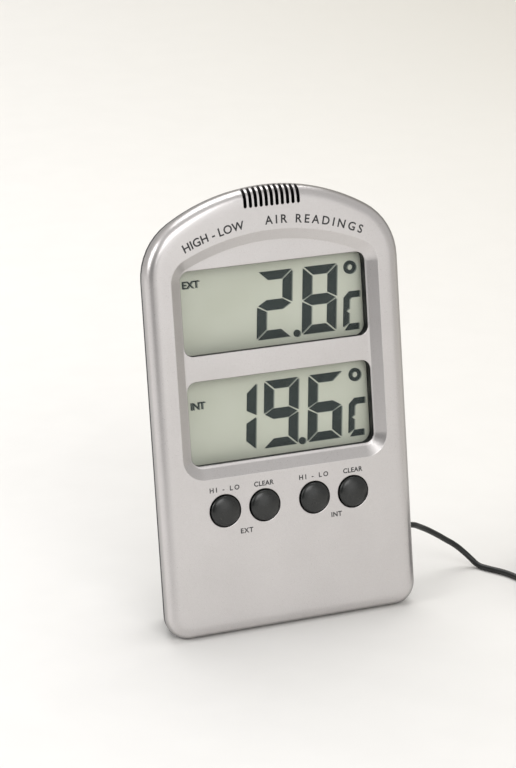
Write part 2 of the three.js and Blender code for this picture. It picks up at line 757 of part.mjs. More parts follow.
function lcdHolder() {
  const inside = lensHalf + GAP;
  const foot = glassFoot - GAP;
  const top = glassTop + GAP;
  const outer = roundedRectangle(
    -inside - HOLDER_WALL, inside + HOLDER_WALL, foot - HOLDER_WALL, top + HOLDER_WALL, HOLDER_RADIUS,
  );
  const hole = box([-inside, 0, foot], [inside, FAR, top]);
  return plate(outer, lensFront, BOARD_DEPTH - GAP).intersect(caseRoom()).subtract(hole);
}

function zebraStrip(foot) {
  return box([-ZEBRA_HALF, rearGlassFront, foot], [ZEBRA_HALF, BOARD_DEPTH - GAP, foot + ZEBRA_WIDTH]);
}

function circuitBoard() {
  const side = windowHalf + BOARD_MARGIN;
  const footSide = outerButton + SWITCH_SIZE / 2 + BOARD_FOOT_MARGIN;
  const sill = windowFoot - BOARD_SILL;
  const head = windowTop + BOARD_HEAD;
  const right = [
    [footSide, BOARD_FOOT],
    [footSide, sill],
    [side, sill],
    [side, head],
    [TONGUE_HALF, head],
    [TONGUE_HALF, HEIGHT - TONGUE_TOP],
  ];
  const left = right.map(([x, z]) => [-x, z]).reverse();
  const outline = new THREE.Shape([...right, ...left].map(([x, z]) => new THREE.Vector2(x, z)));
  const holes = BOARD_SCREWS.map(([x, z]) =>
    barAlongDepth(x, z, BOARD_SCREW_RADIUS + GAP, 0, FAR),
  );
  const notches = CASE_SCREWS.map(([x, z]) =>
    barAlongDepth(x, z, BOSS_RADIUS + GAP, 0, FAR),
  );
  return cut(plate(outline, BOARD_DEPTH, boardBack).intersect(caseRoom()), ...holes, ...notches);
}

function controllerBlob() {
  const base = boardBack + GAP;
  const profile = dome(BLOB.radius, BLOB.rise, base).reverse();
  return turnedAlongDepth(BLOB.x, windowTop - BLOB.below, [[0, base], ...profile], SMALL_SIDES);
}

function crystalCan() {
  const y = boardBack + GAP + CRYSTAL.radius;
  const z = windowTop - CRYSTAL.below;
  return barAcross(y, z, CRYSTAL.radius, CRYSTAL.x, CRYSTAL.x + CRYSTAL.length);
}

/** A resin bead on a stem that reaches forward from the board. */
function indoorThermistor() {
  const foot = BOARD_DEPTH - GAP;
  const { radius, stem, reach } = THERMISTOR;
  const middle = foot - reach + radius;
  const neck = middle + Math.sqrt(radius ** 2 - stem ** 2);
  return turnedAlongDepth(0, HEIGHT - THERMISTOR.fromTop, [
    ...dome(radius, -radius, middle),
    [stem, neck],
    [stem, foot],
    [0, foot],
  ], SMALL_SIDES);
}

// ---- Battery and screws -------------------------------------------------------------------------

/** A solid turned about an axis along x, from [radius, x] points. */
function turnedAcross(y, z, profile, sides) {
  const points = profile.map(([radius, x]) => new THREE.Vector2(radius, x));
  const geometry = new THREE.LatheGeometry(points, sides);
  geometry.rotateZ(-Math.PI / 2);
  geometry.translate(0, y, z);
  return solid(geometry);
}

function batteryCell() {
  const end = CELL_LENGTH / 2;
  const shoulder = end - CELL_NUB;
  return turnedAcross(cellDepth, CELL_Z, [
    [0, -end],
    [CELL_RADIUS - CELL_EDGE, -end],
    [CELL_RADIUS, CELL_EDGE - end],
    [CELL_RADIUS, shoulder - CELL_EDGE],
    [CELL_RADIUS - CELL_EDGE, shoulder],
    [CELL_NUB_RADIUS, shoulder],
    [CELL_NUB_RADIUS, end],
    [0, end],
  ], ROUND_SIDES);
}

/** A tapering coil spring that presses on the flat end of the cell. */
function batterySpring() {
  const outer = -CELL_LENGTH / 2 - SPRING_LENGTH;
  const inner = -CELL_LENGTH / 2 - GAP - SPRING_WIRE;
  const points = [];
  const steps = SPRING_TURNS * SMALL_SIDES;
  for (let i = 0; i <= steps; i += 1) {
    const share = i / steps;
    const radius = THREE.MathUtils.lerp(SPRING_RADIUS, SPRING_TIP_RADIUS, share);
    const angle = share * SPRING_TURNS * 2 * Math.PI;
    points.push(new THREE.Vector3(
      THREE.MathUtils.lerp(outer, inner, share),
      cellDepth + radius * Math.cos(angle),
      CELL_Z + radius * Math.sin(angle),
    ));
  }
  return tube(points, SPRING_WIRE, WIRE_SIDES, steps);
}

function batteryPlate() {
  const x = CELL_LENGTH / 2 + GAP;
  return box(
    [x, cellDepth - CONTACT_HALF, CELL_Z - CONTACT_HALF],
    [x + CONTACT_THICKNESS, cellDepth + CONTACT_HALF, CELL_Z + CONTACT_HALF],
  );
}

/** A pan-head screw along the depth axis, driven from the back. */
function screw(x, z, seat, radius, headRadius, headHeight, tip) {
  return turnedAlongDepth(x, z, [
    [0, tip],
    [radius * SCREW_POINT, tip],
    [radius, tip + radius],
    [radius, seat],
    [headRadius, seat],
    [headRadius, seat + headHeight * SCREW_CROWN],
    [headRadius * SCREW_CROWN, seat + headHeight],
    [0, seat + headHeight],
  ], SMALL_SIDES);
}

function caseScrew([x, z]) {
  const tip = WALL + PILOT_FLOOR + GAP;
  const seat = DEPTH - SCREW_SEAT + GAP;
  return screw(x, z, seat, SCREW_RADIUS, SCREW_HEAD_RADIUS, SCREW_HEAD, tip);
}

function boardScrew([x, z]) {
  const seat = boardBack + GAP;
  const tip = seat - BOARD_THICKNESS - BOARD_SCREW_REACH;
  return screw(
    x, z, seat, BOARD_SCREW_RADIUS, BOARD_SCREW_HEAD_RADIUS, BOARD_SCREW_HEAD, tip,
  );
}

// ---- Lead and probe -----------------------------------------------------------------------------

/** A tube of round section along a smooth curve through the points. */
function tube(points, radius, sides, steps) {
  const section = new THREE.Shape(arc(0, 0, radius, 0, 2 * Math.PI, sides).slice(0, sides));
  const path = new THREE.CatmullRomCurve3(points, false, "centripetal");
  return solid(new THREE.ExtrudeGeometry(section, { steps, extrudePath: path, bevelEnabled: false }));
}

const grommetSeat = new THREE.Vector3(
  half - RIM_STEP - (GROMMET_DEPTH - rimBack) * Math.tan(draft),
  GROMMET_DEPTH,
  GROMMET_Z,
);

/** The rubber grommet about its own axis, with 0 at the outside of the wall. */
function grommet() {
  const bore = CABLE_RADIUS + GAP;
  const inside = -WALL - GAP;
  const nose = GAP + GROMMET_RIM + GROMMET_NOSE;
  const points = [
    [bore, inside - GROMMET_RIM],
    [GROMMET_FLANGE, inside - GROMMET_RIM],
    [GROMMET_FLANGE, inside],
    [GROMMET_NECK, inside],
    [GROMMET_NECK, GAP],
    [GROMMET_FLANGE, GAP],
    [GROMMET_FLANGE, GAP + GROMMET_RIM],
    [bore + GROMMET_RIM, nose],
    [bore, nose],
    [bore, inside - GROMMET_RIM],
  ].map(([radius, along]) => new THREE.Vector2(radius, along));
  const geometry = new THREE.LatheGeometry(points, SMALL_SIDES);
  geometry.rotateZ(draft - Math.PI / 2);
  geometry.translate(grommetSeat.x, grommetSeat.y, grommetSeat.z);
  return solid(geometry);
}

function probeCable() {
  const points = CABLE_ROUTE.map((point) => new THREE.Vector3(...point));
  const length = new THREE.CatmullRomCurve3(points, false, "centripetal").getLength();
  return tube(points, CABLE_RADIUS, CABLE_SIDES, Math.round(length / CABLE_STEP));
}

function cableCoil() {
  const r = COIL_ROUND;
  const points = [
    [COIL_INNER + r, COIL_LIFT],
    [COIL_OUTER - r, COIL_LIFT],
    [COIL_OUTER, COIL_LIFT + r],
    [COIL_OUTER, COIL_TOP - r],
    [COIL_OUTER - r, COIL_TOP],
    [COIL_INNER + r, COIL_TOP],
    [COIL_INNER, COIL_TOP - r],
    [COIL_INNER, COIL_LIFT + r],
    [COIL_INNER + r, COIL_LIFT],
  ].map(([radius, z]) => new THREE.Vector2(radius, z));
  const geometry = new THREE.LatheGeometry(points, COIL_SIDES);
  geometry.rotateX(Math.PI / 2);
  geometry.translate(...COIL_CENTRE, 0);
  return solid(geometry);
}

/** A strap round the coil's section, on the side away from the case. */
function coilTie() {
  const middle = (COIL_OUTER + COIL_INNER) / 2;
  const hole = (COIL_OUTER - COIL_INNER) / 2 + GAP;
  const outside = hole + TIE.thickness;
  const side = TIE.width / 2;
  const top = COIL_TOP + GAP;
  const block = box([middle - outside, -side, 0], [middle + outside, side, top + TIE.thickness]);
  const inside = box([middle - hole, -FAR, TIE.under], [middle + hole, FAR, top]);
  const turn = THREE.MathUtils.radToDeg(TIE.angle);
  return block.subtract(inside).rotate([0, 0, turn]).translate([...COIL_CENTRE, 0]);
}

/** A probe piece turned about the probe's own axis, from [radius, along] points. */
function probePiece(profile) {
  const points = profile.map(([radius, along]) => new THREE.Vector2(radius, along));
  const geometry = new THREE.LatheGeometry(points, ROUND_SIDES);
  geometry.rotateZ(PROBE.heading - Math.PI / 2);
  geometry.translate(...COIL_CENTRE, COIL_TOP + GAP + PROBE.radius);
  return solid(geometry);
}

function probeSleeve() {
  const r = PROBE.radius;
  const { back } = PROBE;
  const front = back + PROBE.sleeve;
  return probePiece([
    [0, back],
    [CABLE_RADIUS + GAP, back],
    [r - GAP, back + PROBE.taper],
    [r, back + PROBE.taper + GAP],
    [r, front],
    [0, front],
  ]);
}

function probeTip() {
  const r = PROBE.radius - GAP;
  const back = PROBE.back + PROBE.sleeve + GAP;
  const front = back + PROBE.tip - GAP;
  return probePiece([[0, back], [r, back], ...dome(r, r, front - r).reverse()]);
}

// ---- Assembly -----------------------------------------------------------------------------------

/** A named mesh of a solid in a finish. */
function mesh(name, body, finish) {
  const made = new THREE.Mesh(geometryOf(body), new THREE.MeshStandardMaterial(FINISH[finish]));
  made.name = name;
  return made;
}

/** The pieces fixed in the leaning case. */
function casePieces() {
  const sheet = (front, thickness, foot, top) =>
    displaySheet(LENS_MARGIN, front, thickness, foot, top);
  return [
    mesh("front_shell", frontShell(), "silver"),
    mesh("rear_shell", rearShell(), "black"),
    mesh("display_lens", sheet(lensFront, LENS_THICKNESS, glassFoot, glassTop), "clear"),
    mesh("lcd_front_glass", sheet(glassFront, GLASS_THICKNESS, glassFoot, glassTop), "glass"),
    mesh(
      "lcd_rear_glass",
      sheet(rearGlassFront, GLASS_THICKNESS, glassFoot + GLASS_LEDGE, glassTop - GLASS_LEDGE),
      "glass",
    ),
    mesh(
      "lcd_reflector",
      sheet(reflectorFront, REFLECTOR_THICKNESS, glassFoot + GLASS_LEDGE, glassTop - GLASS_LEDGE),
      "reflector",
    ),
    mesh("lcd_holder", lcdHolder(), "black"),
    mesh("zebra_strip_lower", zebraStrip(glassFoot + GAP), "rubber"),
    mesh("zebra_strip_upper", zebraStrip(glassTop - GAP - ZEBRA_WIDTH), "rubber"),
    mesh("circuit_board", circuitBoard(), "board"),
    mesh("controller_blob", controllerBlob(), "epoxy"),
    mesh("crystal_can", crystalCan(), "steel"),
    mesh("indoor_thermistor", indoorThermistor(), "epoxy"),
    mesh("unit_switch_body", unitSwitchBody(), "black"),
    mesh("battery_cell", batteryCell(), "jacket"),
    mesh("battery_spring", batterySpring(), "steel"),
    mesh("battery_plate", batteryPlate(), "steel"),
    mesh("cable_grommet", grommet(), "rubber"),
    ...CASE_SCREWS.map((place, i) => mesh(`case_screw_${i + 1}`, caseScrew(place), "steel")),
    ...BOARD_SCREWS.map((place, i) => mesh(`board_screw_${i + 1}`, boardScrew(place), "steel")),
    ...BUTTONS.map((x, i) => mesh(`switch_body_${i + 1}`, switchBody(x), "black")),
  ];
}

/** The pieces that move in the case. */
function movingPieces() {
  const leg = mesh("stand", stand(), "black");
  leg.position.set(0, standDepth, STAND_Z);
  return [
    leg,
    mesh("battery_cover", batteryCover(), "black"),
    mesh("unit_switch_knob", unitSwitchKnob(), "white"),
    ...BUTTONS.map((x, i) => mesh(`button_${i + 1}`, buttonCap(x), "button")),
    ...BUTTONS.map((x, i) => mesh(`button_plunger_${i + 1}`, switchPlunger(x), "button")),
  ];
}

/** The lead with its coil, tie and probe, in the part's own axes. */
function leadPieces() {
  return [
    mesh("probe_cable", probeCable(), "cable"),
    mesh("cable_coil", cableCoil(), "cable"),
    mesh("coil_tie", coilTie(), "white"),
    mesh("probe_sleeve", probeSleeve(), "rubber"),
    mesh("probe_tip", probeTip(), "steel"),
  ];
}

const leaning = new THREE.Group();
leaning.rotation.x = -LEAN;
leaning.position.z = caseLift;
leaning.add(...casePieces(), ...movingPieces());

// The unit without its lead is centred on the origin, so its lower middle is the reference point.
const unit = new THREE.Group();
unit.add(leaning);
const extent = new THREE.Box3().setFromObject(unit, true);
unit.position.y = -(extent.min.y + extent.max.y) / 2;

const thermometer = new THREE.Group();
thermometer.add(unit, ...leadPieces());

export default thermometer;
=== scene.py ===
"""Maximum and minimum thermometer: a leaning unit with two displays and a remote probe on a lead."""

import json
import logging
import math
from dataclasses import dataclass
from enum import Enum
from typing import ClassVar, Iterable, Sequence

import bmesh
import bpy
from mathutils import Matrix, Vector


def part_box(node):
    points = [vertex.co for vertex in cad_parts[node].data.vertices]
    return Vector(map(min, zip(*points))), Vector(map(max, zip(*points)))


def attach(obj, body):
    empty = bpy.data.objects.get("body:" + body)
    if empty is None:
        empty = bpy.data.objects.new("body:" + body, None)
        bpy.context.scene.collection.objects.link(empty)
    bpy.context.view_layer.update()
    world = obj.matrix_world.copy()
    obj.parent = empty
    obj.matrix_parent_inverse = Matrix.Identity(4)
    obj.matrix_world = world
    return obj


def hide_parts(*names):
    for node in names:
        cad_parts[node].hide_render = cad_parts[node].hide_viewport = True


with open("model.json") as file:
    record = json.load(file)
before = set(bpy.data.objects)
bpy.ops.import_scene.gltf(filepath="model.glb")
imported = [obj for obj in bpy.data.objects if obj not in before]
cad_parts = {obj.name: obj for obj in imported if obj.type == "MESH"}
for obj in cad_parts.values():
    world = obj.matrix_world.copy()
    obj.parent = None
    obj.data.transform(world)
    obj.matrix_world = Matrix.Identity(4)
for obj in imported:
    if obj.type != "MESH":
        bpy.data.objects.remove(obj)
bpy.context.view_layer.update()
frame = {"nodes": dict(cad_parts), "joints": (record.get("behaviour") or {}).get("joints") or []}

logging.basicConfig(level=logging.INFO, format="%(name)s: %(message)s")
log = logging.getLogger("thermometer")

Point2 = tuple[float, float]
Ring = list[Vector]

# ---- Shared sizes, in millimetres, in the case's own axes ---------------------------------------
# x runs across the face, y is the depth behind the face and z runs up the face.

MM = 0.001
GAP = 0.3
WALL = 1.8
DEPTH = 17.5
PARTING = 4.0
RIM_STEP = 0.3
RIM_FRONT = PARTING + GAP
RIM_BACK = RIM_FRONT + 1.3
BACK_INSET = 4.8
DRAFT = math.atan2(BACK_INSET, DEPTH - RIM_BACK)
BACK_INSIDE = DEPTH - WALL
BUTTON_X = (-17.925, -6.975, 6.975, 17.925)
BUTTON_ROW = 32.7
BUTTON_RADIUS = 4.0
CASE_SCREWS = ((-25.3, 26.0), (25.3, 26.0), (-17.5, 102.4), (17.5, 102.4))
STAND_DEPTH = 16.0
STAND_HEIGHT = 27.5
CELL_HEIGHT = 14.5
CELL_DEPTH = 10.0
COVER_DEPTH = DEPTH - 1.6
BAY_HALF = 25.75
BAY_RISE = 5.8
SWITCH_X = 18.0
SWITCH_Z = 75.95
FAR = 80.0


def case_axes() -> Matrix:
    """The place of the leaning case in the frame, from its joints.

    Returns:
        The matrix that takes case millimetres to metres in the frame.
    """
    joints = {joint["name"]: joint for joint in frame["joints"]}
    back = Vector(joints["button_1_press"]["axis"])
    turn = Matrix.Rotation(-math.atan2(-back.z, back.y), 4, "X")
    hinge = turn @ (Vector((0.0, STAND_DEPTH, STAND_HEIGHT)) * MM)
    place = Matrix.Translation(Vector(joints["stand_fold"]["pos_m"]) - hinge)
    return place @ turn @ Matrix.Scale(MM, 4)


CASE = case_axes()


# ---- Outlines -----------------------------------------------------------------------------------


def arc(centre: Point2, radius: float, start: float, end: float, steps: int) -> list[Point2]:
    """Points along an arc.

    Args:
        centre: The arc's centre.
        radius: Its radius.
        start: First angle, in degrees.
        end: Last angle, in degrees.
        steps: Chords in the arc.

    Returns:
        The points, both ends included.
    """
    angles = [math.radians(start + (end - start) * step / steps) for step in range(steps + 1)]
    return [(centre[0] + radius * math.cos(a), centre[1] + radius * math.sin(a)) for a in angles]


def rounded(corners: Sequence[tuple[float, float, float]], closed: bool = False,
            steps: int = 4) -> list[Point2]:
    """A path whose corners are rounded off.

    Args:
        corners: Each corner as two places and the radius that rounds it.
        closed: Whether the path runs back to its first corner.
        steps: Chords in each rounded corner.

    Returns:
        The path's points.
    """
    path: list[Point2] = []
    count = len(corners)
    for index, (a, b, radius) in enumerate(corners):
        corner = Vector((a, b))
        if radius == 0 or (not closed and index in (0, count - 1)):
            path.append((a, b))
            continue
        before = (Vector(corners[index - 1][:2]) - corner).normalized()
        after = (Vector(corners[(index + 1) % count][:2]) - corner).normalized()
        reach = radius / math.tan(before.angle(after) / 2)
        for step in range(steps + 1):
            share = step / steps
            point = corner + before * reach * (1 - share) ** 2 + after * reach * share**2
            path.append((point.x, point.y))
    return path


def at_depth(points: Iterable[Point2], depth: float) -> Ring:
    """The points of an outline of the face as a ring at one depth."""
    return [Vector((x, depth, z)) for x, z in points]


def rectangle(x: Point2, z: Point2, radius: float, grow: float = 0.0) -> list[Point2]:
    """A rectangle with rounded corners.

    Args:
        x: Its two sides.
        z: Its foot and its top.
        radius: The corners' radius.
        grow: How far the whole outline is moved out.

    Returns:
        The outline's points.
    """
    left, right, foot, top = x[0] - grow, x[1] + grow, z[0] - grow, z[1] + grow
    r = radius + grow
    return [
        *arc((left + r, foot + r), r, 180, 270, 6),
        *arc((right - r, foot + r), r, 270, 360, 6),
        *arc((right - r, top - r), r, 0, 90, 6),
        *arc((left + r, top - r), r, 90, 180, 6),
    ]


@dataclass(frozen=True)
class Arch:
    """An outline with straight sides, rounded corners and an arched top with round shoulders."""

    half: float
    bottom: float
    top: float
    rise: float
    shoulder: float
    corner: float
    least: float = 0.6

    def ring(self, inset: float, depth: float) -> Ring:
        """The outline moved in, at one depth.

        Args:
            inset: How far the outline is moved in.
            depth: Depth behind the face.

        Returns:
            The ring's points.
        """
        radius = (self.half**2 + self.rise**2) / (2 * self.rise)
        side = self.half - inset
        corner = max(self.corner - inset, self.least)
        shoulder = max(self.shoulder - inset, self.least)
        x = side - shoulder
        arch_z = self.top - radius
        climb = math.sqrt((radius - inset - shoulder) ** 2 - x**2)
        bend = math.degrees(math.atan2(climb, x))
        foot = self.bottom + inset + corner
        points = [
            *arc((corner - side, foot), corner, 180, 270, 8),
            *arc((side - corner, foot), corner, 270, 360, 8),
            *arc((x, arch_z + climb), shoulder, 0, bend, 8),
            *arc((0, arch_z), radius - inset, bend, 180 - bend, 28)[1:-1],
            *arc((-x, arch_z + climb), shoulder, 180 - bend, 180, 8),
        ]
        return at_depth(points, depth)


OUTLINE = Arch(half=35, bottom=0, top=114.7, rise=13.37, shoulder=16.5, corner=6)
RECESS = Arch(half=28.5, bottom=41.3, top=103.4, rise=7.27, shoulder=6.5, corner=6)
RECESS_DEPTH = 1.7
WINDOW_HALF = 25.45
WINDOWS: tuple[Point2, Point2] = ((44.75, 66.525), (73.175, 94.95))
WINDOW_RADIUS = 2.4


# ---- Meshes -------------------------------------------------------------------------------------


def loft(rings: Sequence[Ring], closed: bool = False) -> bmesh.types.BMesh:
    """A solid whose skin runs over rings that have the same number of points.

    Args:
        rings: The rings, in order.
        closed: Whether the last ring joins the first, or both ends are capped.

    Returns:
        The solid.
    """
    bm = bmesh.new()
    loop = [bm.verts.new(point) for point in rings[0]]
    edges = [bm.edges.new((loop[i - 1], corner)) for i, corner in enumerate(loop)]
    if not closed:
        bmesh.ops.edgeloop_fill(bm, edges=edges)
    for ring in [*rings[1:], *([rings[0]] if closed else [])]:
        loop, edges = grown(bm, loop, edges, ring)
    if closed:
        bmesh.ops.remove_doubles(bm, verts=bm.verts, dist=1e-5)
    else:
        bmesh.ops.edgeloop_fill(bm, edges=edges)
    bmesh.ops.recalc_face_normals(bm, faces=bm.faces)
    return bm


def grown(bm: bmesh.types.BMesh, loop: list[bmesh.types.BMVert],
          edges: list[bmesh.types.BMEdge], ring: Ring) -> tuple[list, list]:
    """Extrudes an edge loop to the places of the next ring.

    Args:
        bm: The mesh.
        loop: The loop's corners, in order.
        edges: The loop's edges.
        ring: Where the corners go.

    Returns:
        The new loop's corners, in order, and its edges.
    """
    places = dict(zip(loop, ring))
    made = bmesh.ops.extrude_edge_only(bm, edges=edges)["geom"]
    above: dict[bmesh.types.BMVert, bmesh.types.BMVert] = {}
    for corner in (part for part in made if isinstance(part, bmesh.types.BMVert)):
        foot = next((edge.other_vert(corner) for edge in corner.link_edges
                     if edge.other_vert(corner) in places), None)
        if foot and corner not in places:
            above[foot] = corner
            corner.co = places[foot]
    risen = [above[corner] for corner in loop]
    return risen, [bm.edges.get((risen[i - 1], corner)) for i, corner in enumerate(risen)]


def turned(profile: Sequence[Point2], steps: int = 48, closed: bool = False) -> bmesh.types.BMesh:
    """A solid turned about the depth axis.

    Args:
        profile: Points as radius and depth, from axis to axis unless closed.
        steps: Sides of the round.
        closed: Whether the profile is a loop clear of the axis.

    Returns:
        The solid.
    """
    bm = bmesh.new()
    corners = [bm.verts.new((radius, depth, 0)) for radius, depth in profile]
    edges = [bm.edges.new(pair) for pair in zip(corners, corners[1:])]
    if closed:
        edges.append(bm.edges.new((corners[-1], corners[0])))
    bmesh.ops.spin(bm, geom=corners + edges, cent=(0, 0, 0), axis=(0, 1, 0), dvec=(0, 0, 0),
                   angle=math.tau, steps=steps, use_merge=True, use_duplicate=False)
    bmesh.ops.remove_doubles(bm, verts=bm.verts, dist=1e-5)
    bmesh.ops.recalc_face_normals(bm, faces=bm.faces)
    return bm


def block(low: Sequence[float], high: Sequence[float], edge: float = 0.0,
          segments: int = 2) -> bmesh.types.BMesh:
    """A box between two corners.

    Args:
        low: Its lowest corner.
        high: Its highest corner.
        edge: Width of the bevel on its edges.
        segments: Steps in the bevel.

    Returns:
        The box.
    """
    bm = bmesh.new()
    bmesh.ops.create_cube(bm, size=1.0)
    size = Vector(high) - Vector(low)
    bmesh.ops.scale(bm, vec=size, verts=bm.verts)
    bmesh.ops.translate(bm, vec=Vector(low) + size / 2, verts=bm.verts)
    if edge:
        bmesh.ops.bevel(bm, geom=list(bm.edges), offset=edge, segments=segments, affect="EDGES",
                        profile=0.5, material=-1)
    return bm


def moved(bm: bmesh.types.BMesh, matrix: Matrix) -> bmesh.types.BMesh:
    """The same mesh after a move."""
    bmesh.ops.transform(bm, matrix=matrix, verts=bm.verts)
    return bm


def together(parts: Iterable[bmesh.types.BMesh]) -> bmesh.types.BMesh:
    """One mesh that holds several.

    Args:
        parts: The meshes, which are used up.

    Returns:
        The joined mesh.
    """
    whole = bmesh.new()
    for part in parts:
        mesh = bpy.data.meshes.new("part")
        part.to_mesh(mesh)
        part.free()
        whole.from_mesh(mesh)
        bpy.data.meshes.remove(mesh)
    return whole


def thickened(bm: bmesh.types.BMesh, depth: float) -> None:
    """Gives flat faces a small depth behind the face.

    Args:
        bm: The flat mesh.
        depth: How far it reaches back.
    """
    bmesh.ops.dissolve_degenerate(bm, edges=list(bm.edges), dist=1e-6)
    made = bmesh.ops.extrude_face_region(bm, geom=list(bm.faces), use_keep_orig=True)["geom"]
    back = [part for part in made if isinstance(part, bmesh.types.BMVert)]
    bmesh.ops.translate(bm, vec=(0, depth, 0), verts=back)
    bmesh.ops.recalc_face_normals(bm, faces=bm.faces)


def as_object(name: str, bm: bmesh.types.BMesh) -> bpy.types.Object:
    """The mesh as a linked object.

    Args:
        name: The object's name.
        bm: Its mesh, which is used up.

    Returns:
        The object.
    """
    mesh = bpy.data.meshes.new(name)
    bm.to_mesh(mesh)
    bm.free()
    made = bpy.data.objects.new(name, mesh)
    bpy.context.scene.collection.objects.link(made)
    return made


class Cut(Enum):
    """How a tool acts on a body."""

    OFF = "DIFFERENCE"
    ON = "UNION"
    WITHIN = "INTERSECT"


def carved(body: bmesh.types.BMesh, tool: bmesh.types.BMesh, how: Cut,
           dark: bool = False) -> bmesh.types.BMesh:
    """A body after one cut or join.

    Args:
        body: The mesh to work on, which is used up.
        tool: The other solid, which is used up.
        how: Whether the tool comes off, goes on or limits the body.
        dark: Whether the faces that the tool leaves take the second material.

    Returns:
        The new mesh.
    """
    if dark:
        for face in tool.faces:
            face.material_index = 1 if abs(face.normal.y) < 0.5 else 0
    made, other = as_object("body", body), as_object("tool", tool)
    for piece in (made, other):
        piece.data.materials.append(None)
        piece.data.materials.append(None)
    step = made.modifiers.new("cut", "BOOLEAN")
    step.operation, step.solver, step.object = how.value, "EXACT", other
    graph = bpy.context.evaluated_depsgraph_get()
    mesh = bpy.data.meshes.new_from_object(made.evaluated_get(graph))
    result = bmesh.new()
    result.from_mesh(mesh)
    result.verts.sort(key=lambda vertex: vertex.co.dot((1, 1.618, 2.303)))
    result.faces.sort(key=lambda face: face.calc_center_median().dot((1, 1.618, 2.303)))
    for piece in (made, other):
        used = piece.data
        bpy.data.objects.remove(piece)
        bpy.data.meshes.remove(used)
    bpy.data.meshes.remove(mesh)
    return result


def stood_on_floor(bm: bmesh.types.BMesh) -> bmesh.types.BMesh:
    """A mesh in the frame with what would be under the floor cut off flat.

    Args:
        bm: The mesh, in metres.

    Returns:
        The same mesh.
    """
    cut = bmesh.ops.bisect_plane(bm, geom=[*bm.verts, *bm.edges, *bm.faces], dist=1e-7,
                                 plane_co=(0, 0, 0), plane_no=(0, 0, -1), clear_outer=True)
    rim = [part for part in cut["geom_cut"] if isinstance(part, bmesh.types.BMEdge)]
    if rim:
        bmesh.ops.holes_fill(bm, edges=rim)
    return bm


# ---- Finishes -----------------------------------------------------------------------------------


def tone(code: str) -> tuple[float, float, float, float]:
    """A colour written as six hexadecimal digits, as Blender's linear colour."""
    parts = [int(code[i:i + 2], 16) / 255 for i in (0, 2, 4)]
    linear = [c / 12.92 if c <= 0.04045 else ((c + 0.055) / 1.055) ** 2.4 for c in parts]
    return (linear[0], linear[1], linear[2], 1.0)


class Tree:
    """A node tree that is filled by adding nodes and joining them."""

    def __init__(self, tree: bpy.types.NodeTree) -> None:
        """Starts from an empty tree."""
        self.tree = tree
        tree.nodes.clear()

    def add(self, kind: str, values: dict[str, object] | None = None,
            **settings: object) -> bpy.types.Node:
        """A new node.

        Args:
            kind: The node's type.
            values: Fixed values of its inputs, or the outputs that feed them, by name.
            **settings: Its own settings.

        Returns:
            The node.
        """
        node = self.tree.nodes.new(kind)
        for name, value in settings.items():
            setattr(node, name, value)
        for name, value in (values or {}).items():
            self.feed(node.inputs[name], value)
        return node

    def feed(self, socket: bpy.types.NodeSocket, value: object) -> None:
        """Joins an output to the input, or sets the input."""
        if isinstance(value, bpy.types.NodeSocket):
            self.tree.links.new(value, socket)
        else:
            socket.default_value = value

    def blend(self, share: object, first: object, second: object) -> bpy.types.NodeSocket:
        """A mix of two colours.

        Args:
            share: How much of the second colour.
            first: The first colour.
            second: The second colour.

        Returns:
            The mixed colour.
        """
        node = self.tree.nodes.new("ShaderNodeMix")
        node.data_type = "RGBA"
        for index, value in ((0, share), (6, first), (7, second)):
            self.feed(node.inputs[index], value)
        return node.outputs[2]

    def between(self, value: object, low: float, high: float, start: float = 0.0,
                end: float = 1.0) -> bpy.types.NodeSocket:
        """A value moved from one range to another.

        Args:
            value: The value.
            low: Where the source range starts.
            high: Where it ends.
            start: Where the new range starts.
            end: Where it ends.

        Returns:
            The new value.
        """
        node = self.add("ShaderNodeMapRange", {
            "Value": value, "From Min": low, "From Max": high, "To Min": start, "To Max": end})
        return node.outputs["Result"]


def surface_group() -> bpy.types.ShaderNodeTree:
    """The group that gives every moulded surface its fine grain and slow patches.

    Returns:
        The node group, which is built once.
    """
    name = "moulded_surface"
    if name in bpy.data.node_groups:
        return bpy.data.node_groups[name]
    group = bpy.data.node_groups.new(name, "ShaderNodeTree")
    face = group.interface
    for label, value in (("Grains", 3000.0), ("Patches", 60.0)):
        socket = face.new_socket(label, in_out="INPUT", socket_type="NodeSocketFloat")
        socket.default_value = value
    for label in ("Grain", "Patch", "Speck"):
        face.new_socket(label, in_out="OUTPUT", socket_type="NodeSocketFloat")
    tree = Tree(group)
    inside, out = tree.add("NodeGroupInput"), tree.add("NodeGroupOutput")
    place = tree.add("ShaderNodeTexCoord").outputs["Object"]
    grain = tree.add("ShaderNodeTexNoise", {
        "Vector": place, "Scale": inside.outputs["Grains"], "Detail": 3.0, "Roughness": 0.6})
    patch = tree.add("ShaderNodeTexNoise", {
        "Vector": place, "Scale": inside.outputs["Patches"], "Detail": 2.0, "Roughness": 0.5})
    speck = tree.add("ShaderNodeTexVoronoi", {
        "Vector": place, "Scale": inside.outputs["Grains"]}, feature="F1")
    tree.feed(out.inputs["Grain"], grain.outputs["Fac"])
    tree.feed(out.inputs["Patch"], tree.between(patch.outputs["Fac"], 0.35, 0.65))
    tree.feed(out.inputs["Speck"], tree.between(speck.outputs["Distance"], 0.0, 0.7))
    return group


